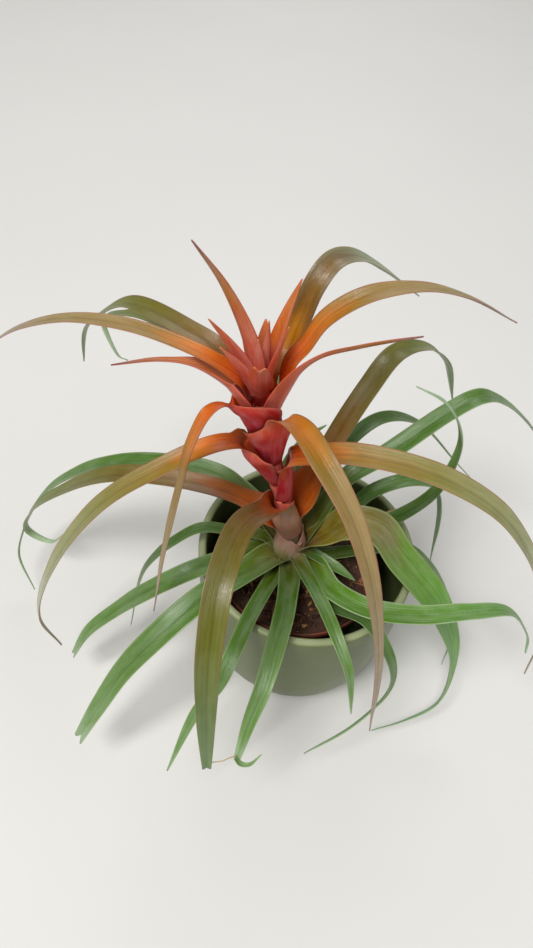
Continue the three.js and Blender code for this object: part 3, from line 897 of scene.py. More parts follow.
@dataclass
class Section:
    """A blade's cross-section at one share of its length.

    Args:
        half_width: Half of the width, laid flat.
        half_angle: Half of the angle that the section's arc bends through, in degrees.
        sink: 0 where the line is the keel, and 1 where it runs through the middle of the section.
        crease: 0 for a round channel and 1 for a folded one.
        roll: How far the section is turned about the line, in degrees.
    """

    half_width: float
    half_angle: float
    sink: float = 1.0
    crease: float = 0.0
    roll: float = 0.0


@dataclass
class Blade:
    """A thin closed leaf blade that is swept along a line.

    Args:
        line: The line that it follows.
        azimuth: The side of the stem that it grows from, in degrees.
        section: Gives the cross-section at a share of the length.
        ripe: Gives the colour's ripeness at a share of the length.
        seed: Sets the blade's own waves and grain.
        columns: How many strips the blade has across.
        step: How far apart its cross-sections are.
        middle: Thickness at the keel.
        edge: Thickness at the margins.
        wave: How far the margins wave.
        notch: How far the tip is torn in, for a blade whose point has broken off.
    """

    line: Line
    azimuth: float
    section: Callable[[float], Section]
    ripe: Callable[[float], float]
    seed: float
    columns: int = 14
    step: float = 1.9
    middle: float = 0.75
    edge: float = 0.3
    wave: float = 0.6
    notch: float = 0.0

    FEWEST: ClassVar[int] = 24  # stretches along a short blade
    WAVE_PITCH: ClassVar[float] = 0.035  # waves of the margins for each millimetre of length
    WAVE_SPAN: ClassVar[tuple[float, float]] = (0.1, 0.35)  # shares of the length over which they grow
    TORN_SPAN: ClassVar[tuple[float, float]] = (0.9, 1.0)  # shares over which a torn tip is drawn in
    WORN_SPAN: ClassVar[tuple[float, float]] = (0.92, 1.0)  # and over which its corners are worn round
    GRAIN_STEP: ClassVar[float] = 17.0  # how far a blade's seed moves it along the grain

    def draw(self) -> Sketch:
        """Draws the blade.

        Returns:
            The sketch of it.
        """
        sketch = Sketch()
        steps = max(self.FEWEST, round(self.line.length / self.step))
        side = outward(self.azimuth + 90)
        rows = []
        for i in range(steps + 1):
            share = i / steps
            tangent = self.line.direction(share)
            side = (side - tangent * side.dot(tangent)).normalized()
            rows.append(self._row(sketch, share, tangent, side))
        self._close(sketch, rows)
        return sketch

    def _row(
        self, sketch: Sketch, share: float, tangent: Vector, side: Vector,
    ) -> tuple[list[int], list[int]]:
        """Adds one cross-section.

        Args:
            sketch: Where its vertices go.
            share: Its place along the blade.
            tangent: The line's direction there.
            side: The blade's width direction there.

        Returns:
            The indices of its upper and of its under vertices.
        """
        cut = self.section(share)
        centre = self.line.at(share)
        across = side.copy()
        across.rotate(Matrix.Rotation(math.radians(cut.roll), 3, tangent))
        up = tangent.cross(across)
        angle = math.radians(cut.half_angle)
        radius = cut.half_width / angle
        rise = radius * (1 - math.cos(angle))
        lowered = cut.sink * radius * (1 - math.sin(angle) / angle)
        along = share * self.line.length
        upper, under = [], []
        for k in range(self.columns + 1):
            t = 2 * k / self.columns - 1
            at = angle * t
            round_height = radius * (1 - math.cos(at))
            height = mix(round_height, rise * abs(t), cut.crease) - lowered
            wobble = noise.noise(Vector((along * self.WAVE_PITCH, t * 0.8 + self.seed, self.seed * 3.1)))
            height += wobble * self.wave * t * t * smooth(share, *self.WAVE_SPAN)
            torn = self.notch * smooth(share, *self.TORN_SPAN) * (1 - abs(t)) ** 1.5
            worn = self.notch * smooth(share, *self.WORN_SPAN) * 0.5 * abs(t) ** 5
            spot = centre + across * radius * math.sin(at) + up * height - tangent * (torn + worn)
            outer = math.cos(at) * up - math.sin(at) * across
            thick = mix(self.middle, self.edge, abs(t) ** 2) / 2
            grain = (t * cut.half_width, along, self.seed * self.GRAIN_STEP)
            values = {"across": t, "ripe": self.ripe(share)}
            upper.append(sketch.add(spot + outer * thick, grain, upper=1.0, **values))
            under.append(sketch.add(spot - outer * thick, grain, upper=0.0, **values))
        return upper, under

    @staticmethod
    def _close(sketch: Sketch, rows: list[tuple[list[int], list[int]]]) -> None:
        """Joins the cross-sections into one closed skin.

        Args:
            sketch: Where the faces go.
            rows: The upper and under vertices of each cross-section.
        """
        for (top, low), (next_top, next_low) in zip(rows, rows[1:]):
            for k in range(len(top) - 1):
                sketch.faces.append((top[k], next_top[k], next_top[k + 1], top[k + 1]))
                sketch.faces.append((low[k], low[k + 1], next_low[k + 1], next_low[k]))
            sketch.faces.append((top[0], low[0], next_low[0], next_top[0]))
            sketch.faces.append((top[-1], next_top[-1], next_low[-1], low[-1]))
        for top, low in (rows[0], rows[-1]):
            for k in range(len(top) - 1):
                sketch.faces.append((top[k], top[k + 1], low[k + 1], low[k]))


# ---- The plant's leaves -----------------------------------------------------------------------------------


@dataclass(frozen=True)
class CupSize:
    """How a bract or stem leaf clasps the stalk.

    Args:
        angle: Half of the angle that its foot wraps.
        mouth_angle: The same at its mouth.
        height: How far up its mouth is.
        flare: How fast its keel leans away from the stalk, in mm for each mm up.
        girth: The radius that its wall is bent to at the mouth.
        neck: The length over which it then narrows to the strap.
        foot: How far out from the stalk's axis its foot is.
        belly: How far it swells between its foot and its mouth.
    """

    angle: float
    mouth_angle: float
    height: float
    flare: float
    girth: float
    neck: float
    foot: float = 5.6
    belly: float = 0.0


class Cup(Enum):
    """The kinds of cup on the plant."""

    BOAT = CupSize(116, 80, 32, 0.36, 15, 13)
    POUCH = CupSize(108, 84, 26, 0.34, 13.2, 18)
    SLEEVE = CupSize(116, 70, 26, 0.2, 8.5, 20)
    FAN = CupSize(84, 58, 22, 0.46, 11.8, 40)
    FOLD = CupSize(60, 40, 24, 0.28, 14, 34)
    SLIM = CupSize(46, 32, 14, 0.4, 11.2, 20)
    SHEATH = CupSize(108, 74, 18, 0.3, 11, 34)
    HUSK = CupSize(96, 58, 14, 0.4, 11.2, 30)
    PURSE = CupSize(126, 104, 30, 0.07, 7.6, 30, 7.2, 1.9)


@dataclass(frozen=True)
class Leaf:
    """One leaf or leafed bract of the plant, in millimetres and degrees.

    Args:
        name: The frame's node that it stands for.
        azimuth: The side that it grows from, 0 to the right and 90 to the back.
        root: The height where it leaves the stem.
        width: Its full width.
        path: The points that it passes through, ending at its tip.
        rise: How much a rosette leaf climbs in its first stretch.
        cup: How a bract or stem leaf clasps the stalk.
        tip: The share of its width left at its tip.
        crease: How sharply its strap is folded, from 0 for a round channel.
        notch: How far a broken tip is torn in.
        roll: How far its middle stretch is turned towards its left margin, in degrees.
        taper: Over 1 keeps its width until nearer its tip.
        ripen: Over 1 keeps its root's colour until nearer its tip.
        finish: Its finish, where it isn't its group's.
    """

    name: str
    azimuth: float
    root: float
    width: float
    path: tuple[Point, ...]
    rise: float = 0.0
    cup: Cup = Cup.SLIM
    tip: float = 0.08
    crease: float = 0.3
    notch: float = 0.0
    roll: float = 0.0
    taper: float = 2.1
    ripen: float = 1.0
    finish: LeafFinish | None = None

    ROLL_IN: ClassVar[tuple[float, float]] = (0.03, 0.14)  # shares of the length over which a roll grows
    ROLL_OUT: ClassVar[tuple[float, float]] = (0.45, 0.85)  # shares over which it goes again

    def turned(self, share: float) -> float:
        """Returns how far the leaf is rolled at a share of its length, in degrees."""
        return self.roll * smooth(share, *self.ROLL_IN) * (1 - smooth(share, *self.ROLL_OUT))

    def strap(self, share: float, shoulder: float) -> float:
        """Returns half of the strap's width at a share of its length, narrower beyond the shoulder."""
        past = max(0.0, (share - shoulder) / (1 - shoulder))
        return self.width / 2 * mix(1.0, self.tip, past ** self.taper)


ROSETTE_LEAVES: tuple[Leaf, ...] = (
    Leaf("leaf_front_right_under", 300, 92, 10, (
        (18, -42, 107), (36, -53, 113), (52, -69, 99), (56, -77, 74), (39, -91, 51),
        (10, -105, 29),
    ), rise=5, tip=0.3),
    Leaf("leaf_right_narrow", 349, 93, 10, (
        (37, -2, 112), (62, 0, 115), (83, 0, 97), (102, -8, 70), (110, -20, 44),
        (109, -31, 17),
    ), rise=6),
    Leaf("leaf_back_hidden", 84, 93, 12, (
        (-6, 43, 124), (-4, 64, 121), (2, 87, 99), (7, 100, 64),
    ), rise=12),
    Leaf("leaf_back_left_low", 132, 93, 13, (
        (-43, 33, 116), (-66, 53, 107), (-83, 73, 79), (-93, 88, 48),
    ), rise=12),
    Leaf("leaf_left_short", 202, 93, 13, (
        (-48, -19, 115), (-71, -34, 119), (-95, -40, 103), (-117, -40, 76), (-137, -48, 57),
        (-152, -54, 27),
    ), rise=12, tip=0.45, notch=3.0),
    Leaf("leaf_front_left_thin", 249, 93, 10, (
        (-32, -56, 114), (-39, -80, 118), (-45, -95, 110), (-58, -108, 90), (-72, -129, 54),
    ), rise=9),
    Leaf("leaf_front", 270, 98, 13, (
        (-12, -50, 114), (-17, -80, 122), (-22, -101, 116), (-27, -113, 104),
        (-32, -127, 84),
    ), rise=6, tip=0.3, crease=0.5),
    Leaf("leaf_right_level", 313, 98, 15, (
        (16, -35, 114), (37, -49, 120), (66, -51, 122), (96, -45, 121), (124, -37, 111),
        (143, -39, 88), (148, -42, 70),
    ), rise=6, crease=0.1, finish=PALE_LEAF),
    Leaf("leaf_right_back_low", 26, 103, 11, (
        (25, 18, 127), (38, 22, 143), (57, 27, 150), (76, 33, 142), (87, 36, 116),
        (100, 39, 46),
    ), rise=14),
    Leaf("leaf_back_tip_up", 104, 98, 11, (
        (-17, 40, 134), (-12, 56, 134), (-2, 78, 130), (8, 82, 137),
    ), rise=14),
    Leaf("leaf_left_thin", 180, 98, 8, (
        (-47, -2, 119), (-67, -5, 124), (-85, -9, 112), (-98, -11, 95), (-108, -13, 74),
        (-120, -21, 14),
    ), rise=12),
    Leaf("leaf_front_left_broad", 226, 98, 17, (
        (-41, -31, 115), (-62, -52, 119), (-83, -71, 109), (-102, -85, 89), (-117, -99, 65),
        (-132, -112, 36),
    ), rise=9, tip=0.5, notch=6.0),
    Leaf("leaf_front_right_small", 290, 103, 9, (
        (9, -45, 116), (17, -66, 119), (25, -82, 111), (29, -88, 96), (32, -95, 78),
    ), rise=5),
    Leaf("leaf_right_upcurled", 12, 98, 11, (
        (38, 11, 118), (60, 13, 136), (73, 14, 160), (76, 17, 198), (60, 17, 226),
        (41, 14, 238),
    ), rise=12),
    Leaf("leaf_back_right_thin", 64, 101, 10, (
        (8, 35, 148), (22, 49, 162), (41, 67, 163), (74, 89, 139), (106, 92, 105),
        (126, 91, 85),
    ), rise=18),
    Leaf("leaf_left_back_long", 156, 102, 14, (
        (-55, 22, 142), (-84, 29, 143), (-128, 36, 131), (-171, 44, 99), (-198, 44, 66),
        (-210, 33, 44), (-213, 21, 28), (-200, 3, 9),
    ), rise=16),
    Leaf("leaf_inner_right", 328, 105, 8, (
        (19, -14, 107), (32, -20, 103),
    ), rise=2),
    Leaf("leaf_right_broad", 345, 107, 23, (
        (21, -6, 144), (39, -9, 145), (53, -17, 131), (70, -21, 112), (87, -27, 92),
        (106, -41, 51), (101, -62, 27), (79, -74, 18), (57, -81, 12),
    ), rise=20, crease=0.15, roll=24, finish=BROAD_LEAF),
    Leaf("leaf_back_right_high", 32, 107, 14, (
        (19, 20, 156), (40, 31, 166), (76, 52, 187), (93, 60, 194), (116, 75, 179),
        (157, 100, 134), (186, 116, 92),
    ), rise=26),
)
STEM_LEAVES: tuple[Leaf, ...] = (
    Leaf("stem_leaf_left", 172, 114, 15, (
        (-45, 7, 143), (-71, 9, 150), (-122, 16, 143), (-165, 24, 111), (-197, 30, 73),
        (-205, 32, 46), (-190, 30, 37), (-176, 28, 52),
    ), cup=Cup.HUSK),
    Leaf("stem_leaf_back_right", 48, 119, 14, (
        (2, 18, 172), (11, 26, 194), (22, 38, 213), (34, 50, 228), (57, 73, 218),
        (76, 88, 196), (93, 99, 155),
    ), cup=Cup.SHEATH),
    Leaf("stem_leaf_front", 238, 117, 15, (
        (-31, -31, 181), (-41, -55, 197), (-47, -84, 197), (-49, -108, 177),
        (-49, -122, 140), (-48, -133, 81),
    ), tip=0.34, cup=Cup.PURSE, crease=0.6, notch=1.0),
)
BRACT_LEAVES: tuple[Leaf, ...] = (
    Leaf("bract_leaf_left_low", 201, 165, 13, (
        (-45, 1, 197), (-56, -6, 204), (-86, -20, 196), (-118, -31, 174), (-146, -44, 134),
        (-165, -51, 78), (-161, -48, 29),
    ), cup=Cup.POUCH, taper=1.7),
    Leaf("bract_leaf_right_low", 345, 152, 15, (
        (-18, 0, 190), (-3, -6, 202), (16, -11, 210), (56, -20, 210), (93, -28, 193),
        (124, -36, 155), (146, -41, 108), (158, -43, 41),
    ), cup=Cup.SLEEVE, taper=1.6, ripen=0.88),
    Leaf("bract_leaf_front", 296, 184, 14, (
        (-26, -13, 232), (-17, -27, 242), (-6, -46, 241), (9, -66, 228), (20, -84, 208),
        (31, -98, 166), (39, -110, 97),
    ), cup=Cup.POUCH, taper=0.9, crease=0.8, finish=TAN_STRAP),
    Leaf("bract_leaf_back_left_low", 128, 162, 11, (
        (-56, 29, 228), (-75, 43, 231), (-110, 85, 212), (-133, 106, 197), (-152, 122, 178),
        (-139, 102, 166), (-129, 90, 172),
    ), finish=OLIVE_LEAF),
    Leaf("bract_leaf_front_left", 238, 197.4, 10, (
        (-53, -11, 237), (-60, -19, 239), (-68, -26, 222), (-73, -29, 199), (-78, -38, 176),
        (-83, -46, 149), (-89, -57, 109),
    ), cup=Cup.BOAT, taper=1.6, ripen=1.35, finish=TAN_STRAP),
    Leaf("bract_leaf_back", 86, 181, 12, (
        (-36, 28, 234), (-34, 48, 232), (-30, 72, 204), (-27, 88, 160), (-26, 92, 120),
    ), finish=OLIVE_LEAF),
    Leaf("bract_leaf_left_short", 202, 213.7, 9, (
        (-55, 1, 240), (-69, 1, 250), (-85, 1, 251), (-110, 1, 245),
    ), cup=Cup.FAN, finish=RED_BRACT),
    Leaf("bract_leaf_back_left", 140, 192, 13, (
        (-60, 21, 243), (-79, 32, 247), (-112, 57, 241), (-134, 72, 222), (-152, 86, 196),
        (-159, 91, 167),
    ), finish=OLIVE_LEAF),
    Leaf("bract_leaf_right_short", 320, 210.5, 8, (
        (-20, -4, 255), (-11, 0, 262), (8, 9, 263), (36, 11, 271),
    ), cup=Cup.FOLD, finish=RED_BRACT),
    Leaf("bract_leaf_left_high", 170, 223.6, 10, (
        (-61, 6, 250), (-81, 10, 256), (-102, 14, 259), (-133, 20, 256), (-163, 25, 243),
        (-193, 33, 218),
    ), taper=1.6, ripen=1.1, finish=TAN_STRAP),
    Leaf("bract_leaf_right_high", 7, 220, 12, (
        (-23, 9, 251), (-17, 12, 259), (-9, 15, 273), (9, 19, 285), (34, 27, 286),
        (58, 35, 278), (90, 46, 259),
    ), roll=20, taper=1.6, ripen=1.4, finish=TAN_STRAP),
    Leaf("bract_leaf_back_right", 78, 226, 12, (
        (-26, 24, 245), (-21, 29, 260), (-16, 30, 280), (-9, 38, 288), (2, 51, 285),
        (21, 73, 266), (53, 111, 227),
    ), ripen=1.3, finish=DARK_LEAF),
)
LEAF_SLOTS = {
    OLIVE_LEAF.name: "olive_leaf",
    DARK_LEAF.name: "olive_leaf",
    ORANGE_STRAP.name: "orange_bract",
    TAN_STRAP.name: "orange_bract",
    RED_BRACT.name: "red_bract",
}


@dataclass(frozen=True)
class HeadBract:
    """One pointed bract of the flower head.

    Args:
        azimuth: The side it leans to.
        reach: How far its tip is from the head's axis.
        tip: The tip's height.
        width: Its full width.
        bow: Over 1 keeps it upright until near its tip.
        ripe: How far its tip's colour runs from red towards orange and brown.
        face: The side its back faces, where it is turned.
        blunt: The share of its width left at a blunt tip.
        notch: How far a blunt tip is notched.
    """

    azimuth: float
    reach: float
    tip: float
    width: float
    bow: float
    ripe: float
    face: float | None = None
    blunt: float = 0.0
    notch: float = 0.0


HEAD_BRACTS = (
    HeadBract(186, 32, 314, 15, 2.1, 1.0, face=228),
    HeadBract(198, 26, 280, 15, 1.4, 0.6, face=236),
    HeadBract(214, 23, 269, 14, 1.3, 0.45, face=244),
    HeadBract(266, 15, 261, 16, 1.2, 0.5, blunt=0.42, notch=3.0),
    HeadBract(300, 3, 278, 8, 1.0, 0.55),
    HeadBract(250, 8, 271, 9, 1.2, 0.5),
    HeadBract(170, 11, 271, 9, 1.2, 0.5),
    HeadBract(33, 17, 293, 12, 1.5, 0.7),
    HeadBract(345, 11, 276, 12, 1.2, 0.5),
    HeadBract(92, 15, 266, 12, 1.2, 0.6),
    HeadBract(134, 17, 263, 12, 1.2, 0.6),
)


# ---- Sub-assemblies ---------------------------------------------------------------------------------------


@dataclass
class SubAssembly:
    """A part of the plant that builds its own pieces and then dresses them."""

    finish: Finish
    pieces: list[bpy.types.Object] = field(default_factory=list, init=False, repr=False)

    def build(self) -> None:
        """Makes the pieces."""
        raise NotImplementedError

    def dress(self) -> None:
        """Gives the pieces their finish."""
        self.finish.dress(self.pieces)

    def keep(self, sketch: Sketch, name: str, slot: str, *nodes: str) -> bpy.types.Object:
        """Makes a piece from a sketch and keeps it.

        Args:
            sketch: Its shape.
            name: Its name.
            slot: The record's slot, which is handed on to the sketch.
            nodes: The frame's nodes that it stands for.

        Returns:
            The piece.
        """
        made = sketch.piece(name, slot, nodes)
        self.pieces.append(made)
        return made


@dataclass
class CoverPot(SubAssembly):
    """The glazed cover pot: a full bowl with a flat foot and a rolled lip."""

    height: float = 110
    rim_radius: float = 70
    foot_radius: float = 47
    foot_chamfer: float = 2
    foot_edge: tuple[float, float] = (0.5, 0.35)
    wall: float = 4.6
    lip: float = 5.2
    floor: float = 6
    floor_corner: float = 4
    roundness: float = 3
    sides: int = 192
    rows: int = 56
    lip_sides: int = 20
    crowding: float = 1.4  # over 1 sets the rings closer near the foot
    lip_fade: tuple[float, float] = (3.2, 0.6)  # depths below the lip between which the glaze thins
    foot_fade: tuple[float, float] = (1.0, 5.0)  # heights between which the thin glaze of the foot ends
    finish: GlazeFinish = GlazeFinish()

    def outline(self, height: float) -> float:
        """Works out the outside of the wall.

        Args:
            height: A height on the pot.

        Returns:
            The outer radius there.
        """
        fall = 1 - min(height / self.height, 1)
        grown = (1 - fall ** self.roundness) ** (1 / self.roundness)
        return self.foot_radius + (self.rim_radius - self.foot_radius) * grown

    def profile(self) -> list[tuple[float, float]]:
        """Works out the pot's rings, from the foot round the lip to the floor inside.

        Returns:
            The radius and height of each ring.
        """
        lip_radius = self.lip / 2
        lip_height = self.height - lip_radius
        edge_inset, edge_height = self.foot_edge
        rings = [(0.0, 0.0), (self.foot_radius - self.foot_chamfer, 0.0)]
        rings += [(self.foot_radius - edge_inset, edge_height), (self.foot_radius, self.foot_chamfer / 2)]
        for i in range(self.rows + 1):
            z = mix(self.foot_chamfer, lip_height, (i / self.rows) ** self.crowding)
            rings.append((self.outline(z), z))
        for i in range(1, self.lip_sides):
            at = math.pi * i / self.lip_sides
            middle = self.rim_radius - lip_radius
            rings.append((middle + lip_radius * math.cos(at), lip_height + lip_radius * math.sin(at)))
        for i in range(self.rows, -1, -1):
            share = i / self.rows
            z = mix(self.floor + 1, lip_height, share ** self.crowding)
            rings.append((self.outline(z) - mix(self.wall, self.lip, share), z))
        rings += [(self.outline(self.floor) - self.wall - self.floor_corner, self.floor), (0.0, self.floor)]
        return rings

    def thin(self, height: float) -> float:
        """Returns how thin the glaze has run at a height: 1 on the lip, and less at the foot."""
        lip = smooth(height, self.height - self.lip_fade[0], self.height - self.lip_fade[1])
        return lip + 0.4 * (1 - smooth(height, *self.foot_fade))

    def build(self) -> None:
        """Turns the pot."""
        sketch = Sketch()
        sketch.lathe(self.profile(), Vector(), self.sides, self.thin)
        self.keep(sketch, "cover_pot_glazed", "pot_glaze", "cover_pot")


@dataclass
class NurseryPot(SubAssembly):
    """The thin brown nursery pot that stands inside the cover pot."""

    x: float = -4
    y: float = -4
    bottom: float = 6.3
    height: float = 89
    rim_radius: float = 53
    foot_radius: float = 40
    wall: float = 1.2
    rim_band: float = 9
    rim_step: float = 1.4
    rim_flare: float = 0.5
    sides: int = 160
    drain_holes: int = 5
    drain_radius: float = 5
    drain_circle: float = 27
    drill_sides: int = 32
    finish: PlasticFinish = PlasticFinish()

    def profile(self) -> list[tuple[float, float]]:
        """Works out the pot's rings, from the foot round the rim to the floor inside.

        Returns:
            The radius and height of each ring.
        """
        wall = self.wall
        step = self.rim_step
        band = self.rim_radius - self.rim_flare
        under = self.height - self.rim_band
        return [
            (0.0, 0.0),
            (self.foot_radius, 0.0),
            (band - step, under),
            (band, under + 0.6),
            (self.rim_radius, self.height - 0.3),
            (self.rim_radius - 0.3, self.height),
            (self.rim_radius - wall + 0.3, self.height),
            (self.rim_radius - wall, self.height - 0.3),
            (band - wall, under),
            (band - step - wall, under - 0.6),
            (self.foot_radius - wall, wall),
            (0.0, wall),
        ]

    def build(self) -> None:
        """Turns the pot and cuts its drain holes."""
        sketch = Sketch()
        centre = Vector((self.x, self.y, self.bottom))
        sketch.lathe(self.profile(), centre, self.sides)
        pot = self.keep(sketch, "nursery_pot_moulded", "pot_plastic", "nursery_pot")
        self._cut_drains(pot, centre)

    def _cut_drains(self, pot: bpy.types.Object, centre: Vector) -> None:
        """Cuts the drain holes through the floor.

        Args:
            pot: The pot.
            centre: Where its floor is.
        """
        drill = bmesh.new()
        radius = self.drain_radius * MM
        for k in range(self.drain_holes):
            spot = (centre + outward(360 * k / self.drain_holes) * self.drain_circle) * MM
            bmesh.ops.create_cone(
                drill, cap_ends=True, segments=self.drill_sides, radius1=radius, radius2=radius,
                depth=6 * self.wall * MM, matrix=Matrix.Translation(spot),
            )
        mesh = bpy.data.meshes.new("drain_drill")
        drill.to_mesh(mesh)
        drill.free()
        cutter = bpy.data.objects.new("drain_drill", mesh)
        bpy.context.scene.collection.objects.link(cutter)
        cut = pot.modifiers.new("drains", "BOOLEAN")
        cut.operation = "DIFFERENCE"
        cut.solver = "EXACT"
        cut.object = cutter
        graph = bpy.context.evaluated_depsgraph_get()
        drilled = bpy.data.meshes.new_from_object(pot.evaluated_get(graph))
        pot.modifiers.remove(cut)
        pot.data = drilled
        bpy.data.objects.remove(cutter)


@dataclass
class BarkMix(SubAssembly):
    """The bark mix: a lumpy bed with loose chips and fibres on it."""

    x: float = -4
    y: float = -4
    bottom: float = 7.8
    top: float = 88.3
    radius: float = 49.6
    foot_radius: float = 37.4
    hole: float = 9.3
    stem_x: float = -10
    stem_y: float = 3
    relief: float = 2.2
    crumbs: float = 1.1
    chips: int = 620
    fibres: int = 130
    seed: int = 7
    sides: int = 160
    rings: int = 44
    chip_size: tuple[float, float] = (1.4, 6.2)
    fibre_length: tuple[float, float] = (5, 15)
    finish: BarkFinish = BarkFinish()

    def ground(self, x: float, y: float) -> float:
        """Works out the bed's height.

        Args:
            x: How far the place is to the right of the pot's axis.
            y: How far it is behind the pot's axis.

        Returns:
            The height there.
        """
        lumps = math.sin(0.31 * x + 1.7 * math.sin(0.19 * y)) * math.cos(0.27 * y + math.sin(0.23 * x))
        fade = 1 - min(math.hypot(x, y) / self.radius, 1.0) ** 6
        crumbs = noise.fractal(Vector((x * 0.22, y * 0.22, 3.0)), 0.8, 2.1, 4)
        return self.top + (self.relief * lumps + self.crumbs * crumbs) * fade

    def build(self) -> None:
        """Makes the bed and strews it."""
        rng = random.Random(self.seed)
        self._bed()
        self._strew_chips(rng)
        self._strew_fibres(rng)

    def _bed(self) -> None:
        """Makes the bed, with a hole for the stem."""
        sketch = Sketch()
        rows = []
        for share in (0.0, 1.0):
            rows.append([])
            for k in range(self.sides):
                spot = self._between(share, k / self.sides, self.foot_radius)
                rows[-1].append(sketch.add(spot + Vector((0, 0, self.bottom)), tone=0.2))
        for i in range(self.rings + 1):
            rows.append([])
            for k in range(self.sides):
                spot = self._between(1 - i / self.rings, k / self.sides, self.radius)
                height = self.ground(spot.x - self.x, spot.y - self.y)
                grain = (spot.x, spot.y, height)
                rows[-1].append(sketch.add(spot + Vector((0, 0, height)), grain, tone=0.3))
        sketch.join(rows + rows[:1])
        self.keep(sketch, "potting_mix_bed", "bark_mix", "potting_mix")

    def _between(self, share: float, turn: float, radius: float) -> Vector:
        """Works out a level place between the stem's hole and the pot's wall.

        Args:
            share: 0 at the hole and 1 at the wall.
            turn: The share of a full turn.
            radius: The bed's radius.

        Returns:
            The place.
        """
        way = outward(360 * turn)
        hole = Vector((self.stem_x, self.stem_y, 0)) + way * self.hole
        return hole.lerp(Vector((self.x, self.y, 0)) + way * radius, share)

    def _free_spot(self, rng: random.Random, margin: float) -> tuple[float, float]:
        """Draws a random place on the bed, clear of the stem and the wall.

        Args:
            rng: The source of the place.
            margin: How far it keeps from both.

        Returns:
            The place, from the pot's axis.
        """
        while True:
            reach = (self.radius - margin) * math.sqrt(rng.random())
            at = outward(rng.uniform(0, 360)) * reach
            if math.hypot(at.x + self.x - self.stem_x, at.y + self.y - self.stem_y) > self.hole + margin:
                return at.x, at.y

    def _strew_chips(self, rng: random.Random) -> None:
        """Strews flat broken chips of bark.

        Args:
            rng: The source of their places and shapes.
        """
        sketch = Sketch()
        for _ in range(self.chips):
            size = mix(*self.chip_size, rng.random() ** 2.2)
            x, y = self._free_spot(rng, size)
            height = self.ground(x, y) + rng.uniform(-0.1, 0.5) * size * 0.5
            spot = Vector((x + self.x, y + self.y, height))
            turn = Matrix.Rotation(rng.uniform(0, math.tau), 3, "Z")
            tilt = Matrix.Rotation(rng.gauss(0, 0.42), 3, "X") @ Matrix.Rotation(rng.gauss(0, 0.42), 3, "Y")
            self._chip(sketch, rng, spot, turn @ tilt, size)
        self.keep(sketch, "potting_mix_chips", "bark_mix", "potting_mix")

    @staticmethod
    def _chip(sketch: Sketch, rng: random.Random, spot: Vector, turn: Matrix, size: float) -> None:
        """Adds one chip: a rough polygon with two faces and a broken edge.

        Args:
            sketch: Where it goes.
            rng: The source of its irregularity.
            spot: Its middle.
            turn: How it lies.
            size: Its length.
        """
        corners = rng.randint(5, 8)
        wide = size * rng.uniform(0.4, 0.8)
        thick = size * rng.uniform(0.16, 0.34)
        tone = mix(0.12, 0.95, rng.random() ** 2.0)
        offset = rng.uniform(0, 90)
        low, high = [], []
        for k in range(corners):
            at = math.tau * (k + rng.uniform(-0.25, 0.25)) / corners
            reach = rng.uniform(0.75, 1.05)
            flat = Vector((size * reach * math.cos(at) / 2, wide * reach * math.sin(at) / 2, 0))
            for ring, level in ((low, -0.5), (high, rng.uniform(0.3, 0.7))):
                inset = 1.0 if ring is low else rng.uniform(0.78, 0.98)
                local = flat * inset + Vector((0, 0, thick * level))
                grain = (local.x + offset, local.y, local.z)
                ring.append(sketch.add(spot + turn @ local, grain, tone=tone))
        peak = Vector((0, 0, thick * rng.uniform(0.5, 0.85)))
        top = sketch.add(spot + turn @ peak, (offset, 0.0, peak.z), tone=tone)
        sketch.faces.append(tuple(reversed(low)))
        for k in range(corners):
            after = (k + 1) % corners
            sketch.faces.append((low[k], low[after], high[after], high[k]))
            sketch.faces.append((high[k], high[after], top))

    def _strew_fibres(self, rng: random.Random) -> None:
        """Strews thin curling fibres.

        Args:
            rng: The source of their places and shapes.
        """
        sketch = Sketch()
        for _ in range(self.fibres):
            x, y = self._free_spot(rng, 7)
            way = outward(rng.uniform(0, 360))
            length = rng.uniform(*self.fibre_length)
            bend = outward(rng.uniform(0, 360)) * rng.uniform(1, 4)
            points = []
            for share in (-0.5, -0.15, 0.2, 0.5):
                at = Vector((x, y, 0)) + way * length * share + bend * (0.25 - share * share)
                height = self.ground(at.x, at.y) + rng.uniform(0.4, 2.0)
                points.append(Vector((at.x + self.x, at.y + self.y, height)))
            thick = rng.uniform(0.14, 0.34)
            tone = rng.uniform(0.5, 1.0)
            line = Line(points, samples=40)
            sketch.tube(line, 10, 5, lambda share, r=thick: r * (1 - 0.6 * share), tone)
        self.keep(sketch, "potting_mix_fibres", "bark_mix", "potting_mix")


class StalkLine:
    """The flower stalk's centre line, which leans to the left."""

    POINTS = (
        (-10, 3, 101), (-11, 3, 113), (-14, 4, 126), (-20, 5, 154), (-29, 5, 187), (-36, 5, 226),
    )
    HALVINGS = 24  # how closely a height is looked up on the line

    def __init__(self) -> None:
        """Draws the line."""
        self.line = Line(self.POINTS)

    def centre(self, height: float) -> Vector:
        """Works out the stalk's centre, or the point straight above its top.

        Args:
            height: The height that is looked up.

        Returns:
            The point.
        """
        x, y, top = self.POINTS[-1]
        if height > top:
            return Vector((x, y, height))
        low, high = 0.0, 1.0
        for _ in range(self.HALVINGS):
            middle = (low + high) / 2
            if self.line.at(middle).z < height:
                low = middle
            else:
                high = middle
        return self.line.at(low)


